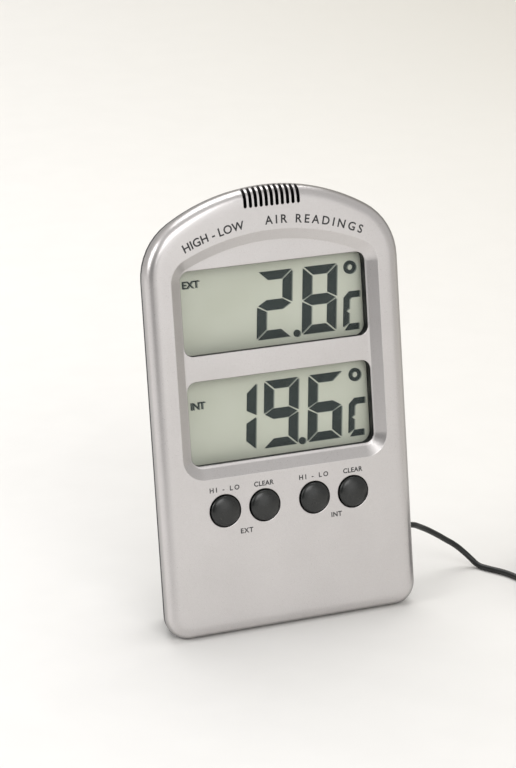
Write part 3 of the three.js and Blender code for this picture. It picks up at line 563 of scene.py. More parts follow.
@dataclass(frozen=True)
class Finish:
    """A moulded, painted or metal surface."""

    name: str
    colour: str
    second: str
    roughness: float
    metallic: float = 0.0
    grains: float = 3000.0
    patches: float = 60.0
    relief: float = 0.02
    flake: float = 0.0
    coat: float = 0.0
    sheen: float = 0.0
    gloss: float = 0.5
    # How far faces darken towards grazing angles: painted shade, partly the paint's own flop.
    flop_and_painted_shade: float = 0.0

    def shader(self, tree: Tree) -> bpy.types.Node:
        """The surface's shader, with its colour, roughness and relief.

        Args:
            tree: The material's tree.

        Returns:
            The shader node.
        """
        group = tree.add("ShaderNodeGroup", node_tree=surface_group())
        tree.feed(group.inputs["Grains"], self.grains)
        tree.feed(group.inputs["Patches"], self.patches)
        colour = self.colouring(tree, group)
        # Painted shade: the colour darkens towards 2c2b2b where the surface turns away from the view. It
        # stands in for dark surroundings reflected in rims and bevels, and partly for the paint's flop.
        if self.flop_and_painted_shade:
            facing = tree.add("ShaderNodeLayerWeight", {"Blend": 0.5}).outputs["Facing"]
            edge = tree.between(facing, 0.35, 0.95, 0.0, self.flop_and_painted_shade)
            colour = tree.blend(edge, colour, tone("2c2b2b"))
        rough = tree.between(group.outputs["Grain"], 0.3, 0.7, self.roughness * 0.86,
                             min(self.roughness * 1.14, 1.0))
        bump = tree.add("ShaderNodeBump", {
            "Strength": 0.6, "Distance": self.relief * MM, "Height": group.outputs["Grain"]})
        return tree.add("ShaderNodeBsdfPrincipled", {
            "Base Color": colour, "Roughness": rough, "Metallic": self.metallic,
            "Normal": bump.outputs["Normal"], "Coat Weight": self.coat, "Coat Roughness": 0.25,
            "Sheen Weight": self.sheen, "Specular IOR Level": self.gloss})

    def colouring(self, tree: Tree, group: bpy.types.Node) -> bpy.types.NodeSocket:
        """The colour over the surface.

        Args:
            tree: The material's tree.
            group: The surface group's node.

        Returns:
            The colour output.
        """
        mixed = tree.blend(group.outputs["Patch"], tone(self.colour), tone(self.second))
        if not self.flake:
            return mixed
        share = tree.between(group.outputs["Speck"], 0.0, 1.0, 0.0, self.flake)
        return tree.blend(share, mixed, tone("ffffff"))

    def material(self) -> bpy.types.Material:
        """The finish as a material, which is made once."""
        if self.name in bpy.data.materials:
            return bpy.data.materials[self.name]
        made = bpy.data.materials.new(self.name)
        made.use_nodes = True
        tree = Tree(made.node_tree)
        shader = self.shader(tree)
        tree.add("ShaderNodeOutputMaterial", {"Surface": shader.outputs["BSDF"]})
        return made


@dataclass(frozen=True)
class Banded(Finish):
    """A finish with a band of another colour beyond a place along x: printed on the cell, painted shade on
    the backdrop.
    """

    band: str = "b98a4a"
    starts: float = 0.012
    width: float = 0.0002

    def colouring(self, tree: Tree, group: bpy.types.Node) -> bpy.types.NodeSocket:
        """The colour, which changes where the band starts.

        Args:
            tree: The material's tree.
            group: The surface group's node.

        Returns:
            The colour output.
        """
        plain = tree.blend(group.outputs["Patch"], tone(self.colour), tone(self.second))
        place = tree.add("ShaderNodeTexCoord").outputs["Object"]
        along = tree.add("ShaderNodeSeparateXYZ", {"Vector": place}).outputs["X"]
        edge = tree.between(along, self.starts, self.starts + self.width)
        return tree.blend(edge, plain, tone(self.band))


@dataclass(frozen=True)
class Clear(Finish):
    """Clear plastic that shows what is behind it."""

    alpha: float = 0.1

    def shader(self, tree: Tree) -> bpy.types.Node:
        """The surface's shader, mostly see-through.

        Args:
            tree: The material's tree.

        Returns:
            The shader node.
        """
        node = super().shader(tree)
        node.inputs["Alpha"].default_value = self.alpha
        return node


# The silver darkens at grazing angles as painted shade on rims and bevels, partly the paint's flop.
SILVER = Finish("silver_paint", "c8c4c3", "c2bebd", 0.31, metallic=0.75, grains=5200, patches=45,
                relief=0.006, flake=0.14, coat=0.1, flop_and_painted_shade=0.85)
SHADOW_PLASTIC = Finish("window_wall_black", "101113", "17181a", 0.5, grains=2600)
BLACK_PLASTIC = Finish("black_moulding", "18191b", "1e1f21", 0.52, grains=2400, relief=0.05)
BUTTON_RUBBER = Finish("button_plastic_dark", "131514", "191b1a", 0.3, grains=3200, relief=0.012,
                       coat=0.25)
INK = Finish("printed_ink", "1f1f22", "2a2a2d", 0.55, grains=4200)
LCD_FILM = Finish("lcd_film", "d3d7c8", "ced2c2", 0.5, grains=3600, patches=90, relief=0.002,
                  gloss=0.3)
LCD_DARK = Finish("lcd_segment", "26312f", "2a3533", 0.5, grains=2600, relief=0.002, gloss=0.3)
LCD_SHADE = Finish("lcd_segment_shade", "858d84", "808880", 0.5, grains=2600, relief=0.002,
                   gloss=0.2)
LENS = Clear("clear_window", "8c9090", "868a8a", 0.06, relief=0.001, alpha=0.03)
GLASS = Clear("display_glass", "dfe6e2", "d8e0dc", 0.06, relief=0.001, alpha=0.35)
REFLECTOR = Finish("display_reflector", "b8baae", "b0b2a6", 0.5, metallic=0.4)
INNER_PLASTIC = Finish("inner_moulding", "141517", "1a1b1d", 0.6, relief=0.04)
ZEBRA = Finish("contact_rubber", "222326", "50514f", 0.75, patches=900)
LAMINATE = Finish("board_laminate_green", "1c5236", "24623f", 0.4, patches=420, relief=0.03)
RESIN = Finish("resin_black", "0f0f10", "151516", 0.28, relief=0.03)
STEEL = Finish("bright_steel_plate", "b6b9bc", "a9acb0", 0.28, metallic=1.0, grains=4000,
               relief=0.006)
SCREW_STEEL = Finish("zinc_screw", "9c9fa1", "84878a", 0.36, metallic=1.0, patches=700,
                     relief=0.01)
SPRING_STEEL = Finish("spring_wire", "a9acae", "94979a", 0.3, metallic=1.0, patches=500)
PROBE_STEEL = Finish("probe_tube", "bfc1c3", "b0b3b6", 0.22, metallic=1.0, patches=260,
                     relief=0.004)
CABLE_PVC = Finish("lead_jacket", "1d1e1d", "252625", 0.42, grains=2600, patches=160,
                   relief=0.015)
RUBBER = Finish("grommet_black", "161617", "1d1d1e", 0.7, relief=0.04, sheen=0.15)
WHITE_PLASTIC = Finish("white_moulding", "dcdbd6", "d2d1cb", 0.45, relief=0.02)
CELL_JACKET = Banded("cell_sleeve", "23543c", "27593f", 0.26, metallic=0.25, patches=200,
                     relief=0.004)


# ---- Pieces -------------------------------------------------------------------------------------


def softened(piece: bpy.types.Object, angle: float) -> None:
    """Shades a piece smooth up to an angle, with its flat faces kept flat.

    Args:
        piece: The piece.
        angle: Sharpest edge that is shaded smooth, in degrees.
    """
    piece.data.shade_smooth()
    piece.data.set_sharp_from_angle(angle=math.radians(angle))
    even = piece.modifiers.new("even_shading", "WEIGHTED_NORMAL")
    even.keep_sharp = True


def finished(name: str, bm: bmesh.types.BMesh, finishes: Sequence[Finish], body: str,
             replaces: Sequence[str] = (), axes: Matrix = CASE, angle: float = 40.0,
             standing: bool = False) -> bpy.types.Object:
    """A piece in its place, dressed and riding on its body.

    Args:
        name: The piece's name.
        bm: Its mesh, which is used up.
        finishes: Its finishes, in the order of its faces' material numbers.
        body: The body that it moves with.
        replaces: The CAD nodes that it stands for.
        axes: What takes its mesh to the frame.
        angle: Sharpest edge that is shaded smooth, in degrees.
        standing: Whether it is cut off flat at the floor.

    Returns:
        The piece.
    """
    moved(bm, axes)
    if standing:
        stood_on_floor(bm)
    piece = as_object(name, bm)
    for finish in finishes:
        piece.data.materials.append(finish.material())
    softened(piece, angle)
    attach(piece, body)
    if replaces:
        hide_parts(*replaces)
    log.info("%s: %d faces, rides on %s", name, len(piece.data.polygons), body)
    return piece


def at(x: float, depth: float, z: float) -> Matrix:
    """A move in the case's axes."""
    return Matrix.Translation((x, depth, z))


@dataclass(frozen=True)
class FrontShell:
    """The silver front half of the case, with its recess, windows, button holes and vents."""

    edge: float = 3.4
    bevel: float = 2.7
    vent_count: int = 11
    vent_pitch: float = 1.46
    vent_width: float = 0.9
    vent_foot: float = 109.5
    vent_back: float = 3.0

    def skin(self) -> bmesh.types.BMesh:
        """The shell before its openings are cut.

        Returns:
            A closed solid.
        """
        pad_back = RECESS_DEPTH + WALL
        rings = [RECESS.ring(-WALL, pad_back), RECESS.ring(-WALL, WALL), OUTLINE.ring(WALL, WALL)]
        side = rounded([(WALL, PARTING, 0), (0, PARTING, 0.2), (0, 0, self.edge),
                        (self.edge + 1, 0, 0)], steps=9)
        rings += [OUTLINE.ring(inset, depth) for inset, depth in side]
        slope = rounded([(-0.5, 0, 0), (0, 0, 0.35), (self.bevel, RECESS_DEPTH, 0.5),
                         (self.bevel + 0.6, RECESS_DEPTH, 0)], steps=5)
        rings += [RECESS.ring(inset, depth) for inset, depth in slope]
        return loft(rings)

    def window_cutters(self) -> bmesh.types.BMesh:
        """The two windows, each with a lip that is rounded off a little."""
        lip = ((0.75, RECESS_DEPTH - 0.5), (0.25, RECESS_DEPTH), (0.07, RECESS_DEPTH + 0.1),
               (0.0, RECESS_DEPTH + 0.28), (0.0, 4.5))
        return together(
            loft([at_depth(rectangle((-WINDOW_HALF, WINDOW_HALF), z, WINDOW_RADIUS, grow), depth)
                  for grow, depth in lip])
            for z in WINDOWS)

    def button_cutters(self) -> bmesh.types.BMesh:
        """The four round button holes with rounded lips."""
        hole = BUTTON_RADIUS + GAP
        profile = [(0, -1), (hole + 1.2, -1), (hole + 0.2, 0), (hole + 0.05, 0.08), (hole, 0.22),
                   (hole, WALL + 1), (0, WALL + 1)]
        return together(moved(turned(profile, 64), at(x, 0, BUTTON_ROW)) for x in BUTTON_X)

    def vent_cutters(self) -> bmesh.types.BMesh:
        """The row of vent slots that runs out over the top edge, with round feet."""
        cutters = []
        for index in range(self.vent_count):
            x = (index - (self.vent_count - 1) / 2) * self.vent_pitch
            half = self.vent_width / 2
            outline = [*arc((x, self.vent_foot + half), half, 180, 360, 8),
                       (x + half, OUTLINE.top + 2), (x - half, OUTLINE.top + 2)]
            cutters.append(loft([at_depth(outline, -1), at_depth(outline, self.vent_back)]))
        return together(cutters)

    def build(self) -> None:
        """Makes the shell and dresses it."""
        shell = carved(self.skin(), self.window_cutters(), Cut.OFF, dark=True)
        shell = carved(shell, self.button_cutters(), Cut.OFF, dark=True)
        shell = carved(shell, self.vent_cutters(), Cut.OFF, dark=True)
        finished("front_case", shell, (SILVER, SHADOW_PLASTIC), "case",
                 ("front_shell",), standing=True)


@dataclass(frozen=True)
class RearShell:
    """The black rear half of the case, with the battery bay, stand slot and hanging hole."""

    edge: float = 1.5
    screw_seat: float = 4.0
    screw_hole: float = 2.5
    keyhole: float = 92.7
    keyhole_radius: float = 4.0
    keyhole_end: float = 99.2
    slot_radius: float = 1.9
    stand_half: float = 11.3
    stand_foot: float = 24.8
    stand_top: float = 65.0
    stand_floor: float = 14.5
    finger_half: float = 6.0
    finger_top: float = 70.0
    finger_depth: float = 2.2
    cover_overlap: float = 1.9
    bay_wall: float = 1.2
    slot_wall: float = 1.5
    ledge_side: float = 29.5
    tower_front: float = 11.8
    tower_radius: float = 3.4
    shank_hole: float = 1.5
    pin_hole: float = 1.2
    pin_reach: float = 13.0
    lead_hole: float = 2.2
    switch_half: tuple[float, float] = (2.3, 1.4)
    cross_half: tuple[float, float] = (0.24, 1.25)

    def outer_path(self) -> list[Point2]:
        """The outside from the rim to the back face, as insets and depths."""
        back = RIM_STEP + BACK_INSET
        return rounded([(RIM_STEP + 0.6, RIM_FRONT, 0), (RIM_STEP, RIM_FRONT, 0.15),
                        (RIM_STEP, RIM_BACK, 0.5), (back, DEPTH, self.edge),
                        (back + 2.4, DEPTH, 0)], steps=6)

    def skin(self) -> bmesh.types.BMesh:
        """The shell before anything is added or cut.

        Returns:
            A closed solid.
        """
        inner = RIM_STEP + WALL
        drop = (BACK_INSIDE - RIM_BACK) * math.tan(DRAFT)
        inside = [(inner + drop, BACK_INSIDE), (inner, RIM_BACK), (inner, RIM_FRONT)]
        rings = [OUTLINE.ring(inset, depth) for inset, depth in [*inside, *self.outer_path()]]
        return loft(rings)

    def solid(self) -> bmesh.types.BMesh:
        """The whole space inside the shell's outside."""
        return loft([OUTLINE.ring(inset, depth) for inset, depth in self.outer_path()])

    def blocks(self) -> list[bmesh.types.BMesh]:
        """What stands inside the shell: bay, ledge, slot and finger walls, and screw towers."""
        back, wall, rise = BACK_INSIDE + GAP, self.bay_wall, BAY_RISE
        low, high = CELL_HEIGHT - rise, CELL_HEIGHT + rise
        over = self.cover_overlap + WALL
        ledge = COVER_DEPTH - GAP - WALL
        rib = self.slot_wall
        side, finger = self.stand_half + rib, self.finger_half + rib
        parts = [
            block((-BAY_HALF - wall, CELL_DEPTH - rise - wall, low - wall),
                  (BAY_HALF + wall, back, high + wall)),
            block((-self.ledge_side, ledge, low - over), (BAY_HALF + over, back, high + over)),
            block((-side, self.stand_floor - rib, self.stand_foot - rib),
                  (side, back, self.stand_top + rib)),
            block((-finger, DEPTH - self.finger_depth - rib, self.stand_top),
                  (finger, back, self.finger_top + rib)),
        ]
        front, radius = self.tower_front, self.tower_radius
        tower = [(0, front), (radius, front), (radius, back), (0, back)]
        parts += [moved(turned(tower, 32), at(x, 0, z)) for x, z in CASE_SCREWS]
        return parts

    def slot_cutter(self) -> bmesh.types.BMesh:
        """The slot that the folded stand lies in, with an eased edge."""
        x, z = (-self.stand_half, self.stand_half), (self.stand_foot, self.stand_top)
        path = ((0.0, self.stand_floor), (0.0, DEPTH - 0.35), (0.35, DEPTH), (1.0, DEPTH + 0.8))
        return loft([at_depth(rectangle(x, z, 0.8, grow), depth) for grow, depth in path])

    def finger_cutter(self) -> bmesh.types.BMesh:
        """The notch that lets a finger reach the stand's tip."""
        x, z = (-self.finger_half, self.finger_half), (self.stand_top - 3, self.finger_top)
        path = ((-1.2, DEPTH - self.finger_depth), (0.0, DEPTH - 0.9), (0.3, DEPTH),
                (0.9, DEPTH + 0.8))
        return loft([at_depth(rectangle(x, z, 2.2, grow), depth) for grow, depth in path])

    def keyhole_cutters(self) -> list[bmesh.types.BMesh]:
        """The hole for a wall screw's head and the slot above it."""
        front = BACK_INSIDE - 1
        half = self.slot_radius
        slot = [*arc((0, self.keyhole_end), half, 0, 180, 12), *arc((0, self.keyhole), half, 180,
                                                                     360, 12)]
        radius = self.keyhole_radius
        hole = [(0, front), (radius, front), (radius, DEPTH - 0.25), (radius + 0.25, DEPTH),
                (radius + 0.8, DEPTH + 0.6), (0, DEPTH + 0.6)]
        return [moved(turned(hole), at(0, 0, self.keyhole)),
                loft([at_depth(slot, front), at_depth(slot, DEPTH + 1)])]

    def screw_cutters(self) -> bmesh.types.BMesh:
        """The four counterbored screw holes."""
        seat, bore, wide = DEPTH - self.screw_seat, self.shank_hole, self.screw_hole
        profile = [(0, 8), (bore, 8), (bore, seat), (wide, seat), (wide, DEPTH - 0.3),
                   (wide + 0.3, DEPTH), (wide + 0.9, DEPTH + 0.7), (0, DEPTH + 0.7)]
        return together(moved(turned(profile, 40), at(x, 0, z)) for x, z in CASE_SCREWS)

    def other_cutters(self) -> list[bmesh.types.BMesh]:
        """The bay, the cover's opening, the pin holes, the switch window and the lead's hole."""
        rise, over = BAY_RISE, self.cover_overlap
        bay = block((-BAY_HALF, CELL_DEPTH - rise, CELL_HEIGHT - rise),
                    (BAY_HALF, COVER_DEPTH + 1, CELL_HEIGHT + rise))
        opening = block((-FAR, COVER_DEPTH - GAP, CELL_HEIGHT - rise - over),
                        (BAY_HALF + over, FAR, CELL_HEIGHT + rise + over))
        hole, reach = self.pin_hole, self.pin_reach
        pins = turned([(0, -reach), (hole, -reach), (hole, reach), (0, reach)], 24)
        moved(pins, at(0, STAND_DEPTH, STAND_HEIGHT) @ Matrix.Rotation(-math.pi / 2, 4, "Z"))
        window = [(0.0, BACK_INSIDE - 1), (0.0, DEPTH - 0.3), (0.3, DEPTH), (0.8, DEPTH + 0.5)]
        half, tall = self.switch_half
        across, up = (SWITCH_X - half, SWITCH_X + half), (SWITCH_Z - tall, SWITCH_Z + tall)
        switch = loft([at_depth(rectangle(across, up, 0.3, grow), depth)
                       for grow, depth in window])
        wide = self.lead_hole
        lead = moved(turned([(0, -4), (wide, -4), (wide, 4), (0, 4)], 32), Grommet.seat())
        return [bay, opening, pins, switch, lead]

    def build(self) -> None:
        """Makes the shell and dresses it."""
        shell = self.skin()
        for part in self.blocks():
            shell = carved(shell, part, Cut.ON)
        cutters = [self.slot_cutter(), self.finger_cutter(), self.screw_cutters()]
        for tool in [*cutters, *self.keyhole_cutters(), *self.other_cutters()]:
            shell = carved(shell, tool, Cut.OFF)
        finished("rear_case", shell, (BLACK_PLASTIC,), "case", ("rear_shell",),
                 standing=True)
        self.build_screws()

    def cross(self) -> list[Point2]:
        """The outline of a screw's cross recess."""
        w, r = self.cross_half
        quarter = [(w, w), (w, r), (-w, r)]
        turns = [(1, 0), (0, 1), (-1, 0), (0, -1)]
        return [(x * c - z * s, x * s + z * c) for c, s in turns for x, z in quarter]

    def build_screws(self) -> None:
        """The four cross-head screws that hold the shells together."""
        seat = DEPTH - self.screw_seat + GAP
        profile = [(0, 3.6), (0.6, 3.6), (1.2, 4.8), (1.2, seat), (2.2, seat), (2.2, seat + 0.8),
                   (1.9, seat + 1.25), (1.3, seat + 1.5), (0, seat + 1.6)]
        for number, (x, z) in enumerate(CASE_SCREWS, 1):
            cross = loft([at_depth(self.cross(), depth) for depth in (seat + 0.7, seat + 3)])
            screw = moved(carved(turned(profile, 32), cross, Cut.OFF), at(x, 0, z))
            finished(f"cross_head_screw_{number}", screw, (SCREW_STEEL,), "case",
                     (f"case_screw_{number}",))


@dataclass(frozen=True)
class BatteryBay:
    """The sliding cover, and the cell with its contacts behind it."""

    length: float = 44.5
    radius: float = 5.25
    nub: float = 1.0

    def cover(self, rear: RearShell) -> None:
        """The cover, cut from the rear shell's own outside so that it is flush.

        Args:
            rear: The rear shell.
        """
        rise = BAY_RISE + rear.cover_overlap - GAP
        end = BAY_HALF + rear.cover_overlap - GAP
        room = block((-FAR, COVER_DEPTH, CELL_HEIGHT - rise), (end, FAR, CELL_HEIGHT + rise))
        cover = carved(rear.solid(), room, Cut.WITHIN)
        grooves = [block((x - 0.45, DEPTH - 0.45, CELL_HEIGHT - 4.6),
                         (x + 0.45, DEPTH + 1, CELL_HEIGHT + 4.6), 0.25)
                   for x in (14.0, 16.0, 18.0, 20.0, 22.0)]
        arrow = loft([at_depth([(6.5, CELL_HEIGHT), (10, CELL_HEIGHT + 2.6),
                                (10, CELL_HEIGHT - 2.6)], depth)
                      for depth in (DEPTH - 0.4, DEPTH + 1)])
        cover = carved(cover, together([*grooves, arrow]), Cut.OFF)
        finished("battery_door", cover, (BLACK_PLASTIC,), "battery_cover",
                 ("battery_cover",), angle=30)

    def lengthwise(self, profile: Sequence[Point2], steps: int = 48) -> bmesh.types.BMesh:
        """A solid turned about the cell's own axis, which runs across the case.

        Args:
            profile: Points as radius and place along x.
            steps: Sides of the round.

        Returns:
            The solid.
        """
        turn = Matrix.Rotation(-math.pi / 2, 4, "Z")
        return moved(turned(profile, steps), at(0, CELL_DEPTH, CELL_HEIGHT) @ turn)

    def cell(self) -> None:
        """The cell with its crimped ends and its nub."""
        end, r = self.length / 2, self.radius
        shoulder = end - self.nub
        path = rounded([(0, -end, 0), (r - 0.9, -end, 0.1), (r - 0.8, 0.4 - end, 0.1),
                        (r, 0.4 - end, 0.4), (r, shoulder - 0.3, 0.4),
                        (r - 0.8, shoulder - 0.3, 0.1), (r - 0.9, shoulder - 0.6, 0.1),
                        (2.3, shoulder - 0.6, 0.2), (1.9, shoulder, 0.1), (1.9, end, 0.3),
                        (0, end, 0)], steps=3)
        finished("cell", self.lengthwise(path), (CELL_JACKET,), "case",
                 ("battery_cell",))

    def contacts(self) -> None:
        """The pressed plate and the coil spring."""
        x = self.length / 2 + GAP
        plate = block((x, CELL_DEPTH - 3.6, CELL_HEIGHT - 3.6),
                      (x + 0.4, CELL_DEPTH + 3.6, CELL_HEIGHT + 3.6), 0.12)
        finished("contact_plate", plate, (STEEL,), "case", ("battery_plate",))
        curve = bpy.data.curves.new("contact_spring", "CURVE")
        curve.dimensions, curve.bevel_depth, curve.bevel_resolution = "3D", 0.3 * MM, 3
        curve.use_fill_caps = True
        spline = curve.splines.new("NURBS")
        turns, steps = 3, 16
        outer, inner = -self.length / 2 - 2.7, -self.length / 2 - 0.65
        spline.points.add(turns * steps)
        for index, point in enumerate(spline.points):
            share = index / (turns * steps)
            angle = share * turns * math.tau
            radius = 3.2 - 1.6 * share
            place = CASE @ Vector((outer + (inner - outer) * share,
                                   CELL_DEPTH + radius * math.cos(angle),
                                   CELL_HEIGHT + radius * math.sin(angle)))
            point.co = (*place, 1)
        spline.use_endpoint_u = True
        spring = bpy.data.objects.new("contact_spring", curve)
        bpy.context.scene.collection.objects.link(spring)
        curve.materials.append(SPRING_STEEL.material())
        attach(spring, "case")
        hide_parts("battery_spring")

    def build(self, rear: RearShell) -> None:
        """Makes the cover, the cell and its contacts."""
        self.cover(rear)
        self.cell()
        self.contacts()


@dataclass(frozen=True)
class Stand:
    """The fold-out leg with its pins and its sunk panel."""

    half: float = 11.0
    length: float = 36.0
    thick: float = 2.4
    pin: float = 0.9

    def leg(self) -> bmesh.types.BMesh:
        """The open leg about its hinge axis, with its foot cut off along the floor.

        Returns:
            The leg, in the frame's directions and in millimetres.
        """
        r = self.thick / 2
        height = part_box("stand")[0].z / MM
        axis = Vector(self.hinge()) / MM
        dip = math.asin((axis.z - height) / self.length)
        reach = ((axis.z - height) - r * math.cos(dip)) / math.sin(dip)
        outline = [*arc((0, 0), r, 90, 270, 12), (reach, -r), (self.length, 0),
                   *arc((self.length - r, 0), r, 0, 90, 6)]
        leg = loft([[Vector((x, a, b)) for a, b in outline] for x in (-self.half, self.half)])
        sharp = [edge for edge in leg.edges if edge.calc_face_angle(0) > 1.2]
        bmesh.ops.bevel(leg, geom=sharp, offset=0.3, segments=3, affect="EDGES", profile=0.5,
                        material=-1)
        panel = [face for face in leg.faces if face.normal.z > 0.99 and face.calc_area() > 100]
        sunk = bmesh.ops.inset_region(leg, faces=panel, thickness=2.2, depth=0.0)
        inner = [face for face in leg.faces if face.normal.z > 0.99 and face not in sunk["faces"]
                 and face.calc_area() > 100]
        bmesh.ops.inset_region(leg, faces=inner, thickness=0.4, depth=-0.5)
        return moved(leg, Matrix.Rotation(-dip, 4, "X"))

    def hinge(self) -> Sequence[float]:
        """The hinge axis's place in the frame, in metres."""
        return next(j["pos_m"] for j in frame["joints"] if j["name"] == "stand_fold")

    def build(self) -> None:
        """Makes the leg and its pins and dresses them."""
        reach = self.half + 1.5
        pin = rounded([(0, -reach, 0), (self.pin, -reach, 0.2), (self.pin, reach, 0.2),
                       (0, reach, 0)], steps=2)
        pins = moved(turned(pin, 24), Matrix.Rotation(-math.pi / 2, 4, "Z"))
        place = Matrix.Translation(Vector(self.hinge())) @ Matrix.Scale(MM, 4)
        leg = carved(self.leg(), pins, Cut.ON)
        finished("fold_out_stand", leg, (BLACK_PLASTIC,), "stand", ("stand",),
                 axes=place)


@dataclass(frozen=True)
class Buttons:
    """The four round push buttons."""

    rise: float = 1.2
    flange: float = 0.9
    front: float = 2.1
    stem: float = 1.7
    back: float = 5.8

    def build(self) -> None:
        """Makes each cap, which rides on its own body."""
        r, flange = BUTTON_RADIUS, BUTTON_RADIUS + self.flange
        crown = [(r * math.sin(a), -self.rise * math.cos(a) ** 0.8)
                 for a in (math.radians(step * 6) for step in range(15))]
        profile = [*crown, (r, 0.0), (r, self.front), (flange, self.front),
                   (flange, self.front + 1), (self.stem, self.front + 1), (self.stem, self.back),
                   (0, self.back)]
        for number, x in enumerate(BUTTON_X, 1):
            cap = moved(turned(profile, 64), at(x, 0, BUTTON_ROW))
            finished(f"button_cap_{number}", cap, (BUTTON_RUBBER,), f"button_{number}",
                     (f"button_{number}",))


@dataclass(frozen=True)
class UnitSwitch:
    """The knob of the degrees C and F switch."""

    def build(self) -> None:
        """Makes the ribbed knob."""
        x, back = SWITCH_X - 1, DEPTH - 0.4
        knob = block((x - 1, 14.2, SWITCH_Z - 1.1), (x + 1, back, SWITCH_Z + 1.1), 0.18)
        ribs = together(block((x + step - 0.12, back - 0.3, SWITCH_Z - 2),
                              (x + step + 0.12, back + 1, SWITCH_Z + 2))
                        for step in (-0.5, 0.0, 0.5))
        knob = carved(knob, ribs, Cut.OFF)
        finished("unit_switch_tab", knob, (WHITE_PLASTIC,), "unit_switch",
                 ("unit_switch_knob",))


@dataclass(frozen=True)
class Display:
    """The two liquid-crystal fields behind the windows."""

    plane: float = 5.5
    ink: float = 0.05
    width: float = 9.6
    height: float = 17.5
    across: float = 2.6
    level: float = 2.25
    middle: float = 2.7
    split: float = 0.3
    slant: float = 0.08
    lit: ClassVar[dict[str, str]] = {"1": "bc", "2": "abged", "6": "afgecd", "8": "abcdefg", "9": "abcdfg"}

    def segments(self) -> dict[str, list[Point2]]:
        """The seven strokes of a digit.

        Returns:
            Each stroke's outline by its letter, before the slant.
        """
        w, h, s, t, d = self.width, self.height, self.across, self.level, self.split
        m, n = h / 2, self.middle / 2
        low_side = [(0, d), (s, t + d), (s, m - n - d), (0, m - d)]
        bottom = [(d, 0), (w - d, 0), (w - s - d, t), (s + d, t)]
        strokes = {"e": low_side, "d": bottom,
                   "g": [(d, m), (s, m + n), (w - s, m + n), (w - d, m), (w - s, m - n), (s, m - n)]}
        strokes["c"] = [(w - x, z) for x, z in low_side]
        strokes["f"] = [(x, h - z) for x, z in low_side]
        strokes["b"] = [(w - x, h - z) for x, z in low_side]
        strokes["a"] = [(x, h - z) for x, z in bottom]
        return strokes

    def letter_c(self) -> list[list[Point2]]:
        """The unit's letter C in two strokes, with the nick of an unlit stroke at its middle."""
        h, w, t, d = 10.1, 4.5, 1.65, 0.25
        m = h / 2
        upright = [(0, 0.9), (t, t + d), (t, m - 0.6), (t - 0.8, m), (t, m + 0.6),
                   (t, h - t - 0.5), (t + 0.5, h - t), (w, h - t), (w, h), (1.5, h), (0, h - 1.5)]
        foot = [(0.5, 0), (w, 0), (w, t), (t + 0.1, t)]
        return [upright, foot]

    def shapes(self, foot: float, digits: dict[str, float], dot: Point2,
               degree: Point2, letter: Point2) -> list[list[Point2]]:
        """Every stroke shown in one field.

        Args:
            foot: Height of the digits' feet.
            digits: Each digit and the x of its lower left corner.
            dot: Centre of the decimal point.
            degree: Centre of the degree ring.
            letter: Lower left corner of the letter C.

        Returns:
            The strokes' outlines on the face.
        """
        strokes = self.segments()
        shown = [[(x + self.slant * z + left, z + foot) for x, z in strokes[key]]
                 for digit, left in digits.items() for key in self.lit[digit]]
        shown += [[(x + self.slant * z + letter[0], z + letter[1]) for x, z in stroke]
                  for stroke in self.letter_c()]
        shown.append(arc(dot, 0.95, 0, 345, 23))
        ring = [arc(degree, radius, 0, 360, 32) for radius in (1.75, 0.75)]
        for i in range(32):
            shown.append([ring[0][i], ring[0][i + 1], ring[1][i + 1], ring[1][i]])
        return shown

    def fields(self) -> list[list[Point2]]:
        """The strokes of both fields."""
        upper = self.shapes(74.6, {"2": -4.3, "8": 8.3}, (6.95, 75.15), (22.8, 90.65),
                            (19.95, 74.25))
        lower = self.shapes(46.25, {"1": -16.1, "9": -4.3, "6": 8.1}, (6.65, 46.85),
                            (22.55, 62.35), (19.75, 46.1))
        return upper + lower

    def layer(self, name: str, shift: Point2, depth: float, finish: Finish) -> None:
        """One flat layer of strokes.

        Args:
            name: The piece's name.
            shift: How far the strokes are moved over the face.
            depth: Depth of the layer's front.
            finish: Its finish.
        """
        bm = bmesh.new()
        for stroke in self.fields():
            corners = [bm.verts.new((x + shift[0], depth, z + shift[1])) for x, z in stroke]
            bm.faces.new(corners)
        words = (("EXT", (-21.4, 91.0), 4.6), ("INT", (-21.6, 59.7), 3.9))
        for text, (x, z), width in words:
            label = Lettering.flat(text, 1.9, width, weight=0.02)
            flat_words = bpy.data.meshes.new("label")
            moved(label, at(x + shift[0], depth, z + shift[1])).to_mesh(flat_words)
            label.free()
            bm.from_mesh(flat_words)
            bpy.data.meshes.remove(flat_words)
        bmesh.ops.remove_doubles(bm, verts=bm.verts, dist=1e-4)
        thickened(bm, self.ink / 2)
        finished(name, bm, (finish,), "case", axes=CASE, angle=20)

    def gasket(self) -> None:
        """The black frame between the clear window and the glass."""
        front, back = 4.85, 5.45
        frame_out = rectangle((-27.6, 27.6), (41.9, 97.8), 1.0)
        plate = loft([at_depth(frame_out, front), at_depth(frame_out, back)])
        holes = together(
            loft([at_depth(rectangle((-WINDOW_HALF, WINDOW_HALF), z, WINDOW_RADIUS, 0.5), depth)
                  for depth in (front - 1, back + 1)])
            for z in WINDOWS)
        plate = carved(plate, holes, Cut.OFF)
        finished("display_gasket", plate, (SHADOW_PLASTIC,), "case")

    def build(self) -> None:
        """Makes the strokes, their soft shade on the reflector and the gasket."""
        self.layer("lcd_strokes", (0.0, 0.0), self.plane - 0.08, LCD_DARK)
        self.layer("lcd_stroke_shade", (0.32, -0.12), self.plane - 0.035, LCD_SHADE)
        self.gasket()


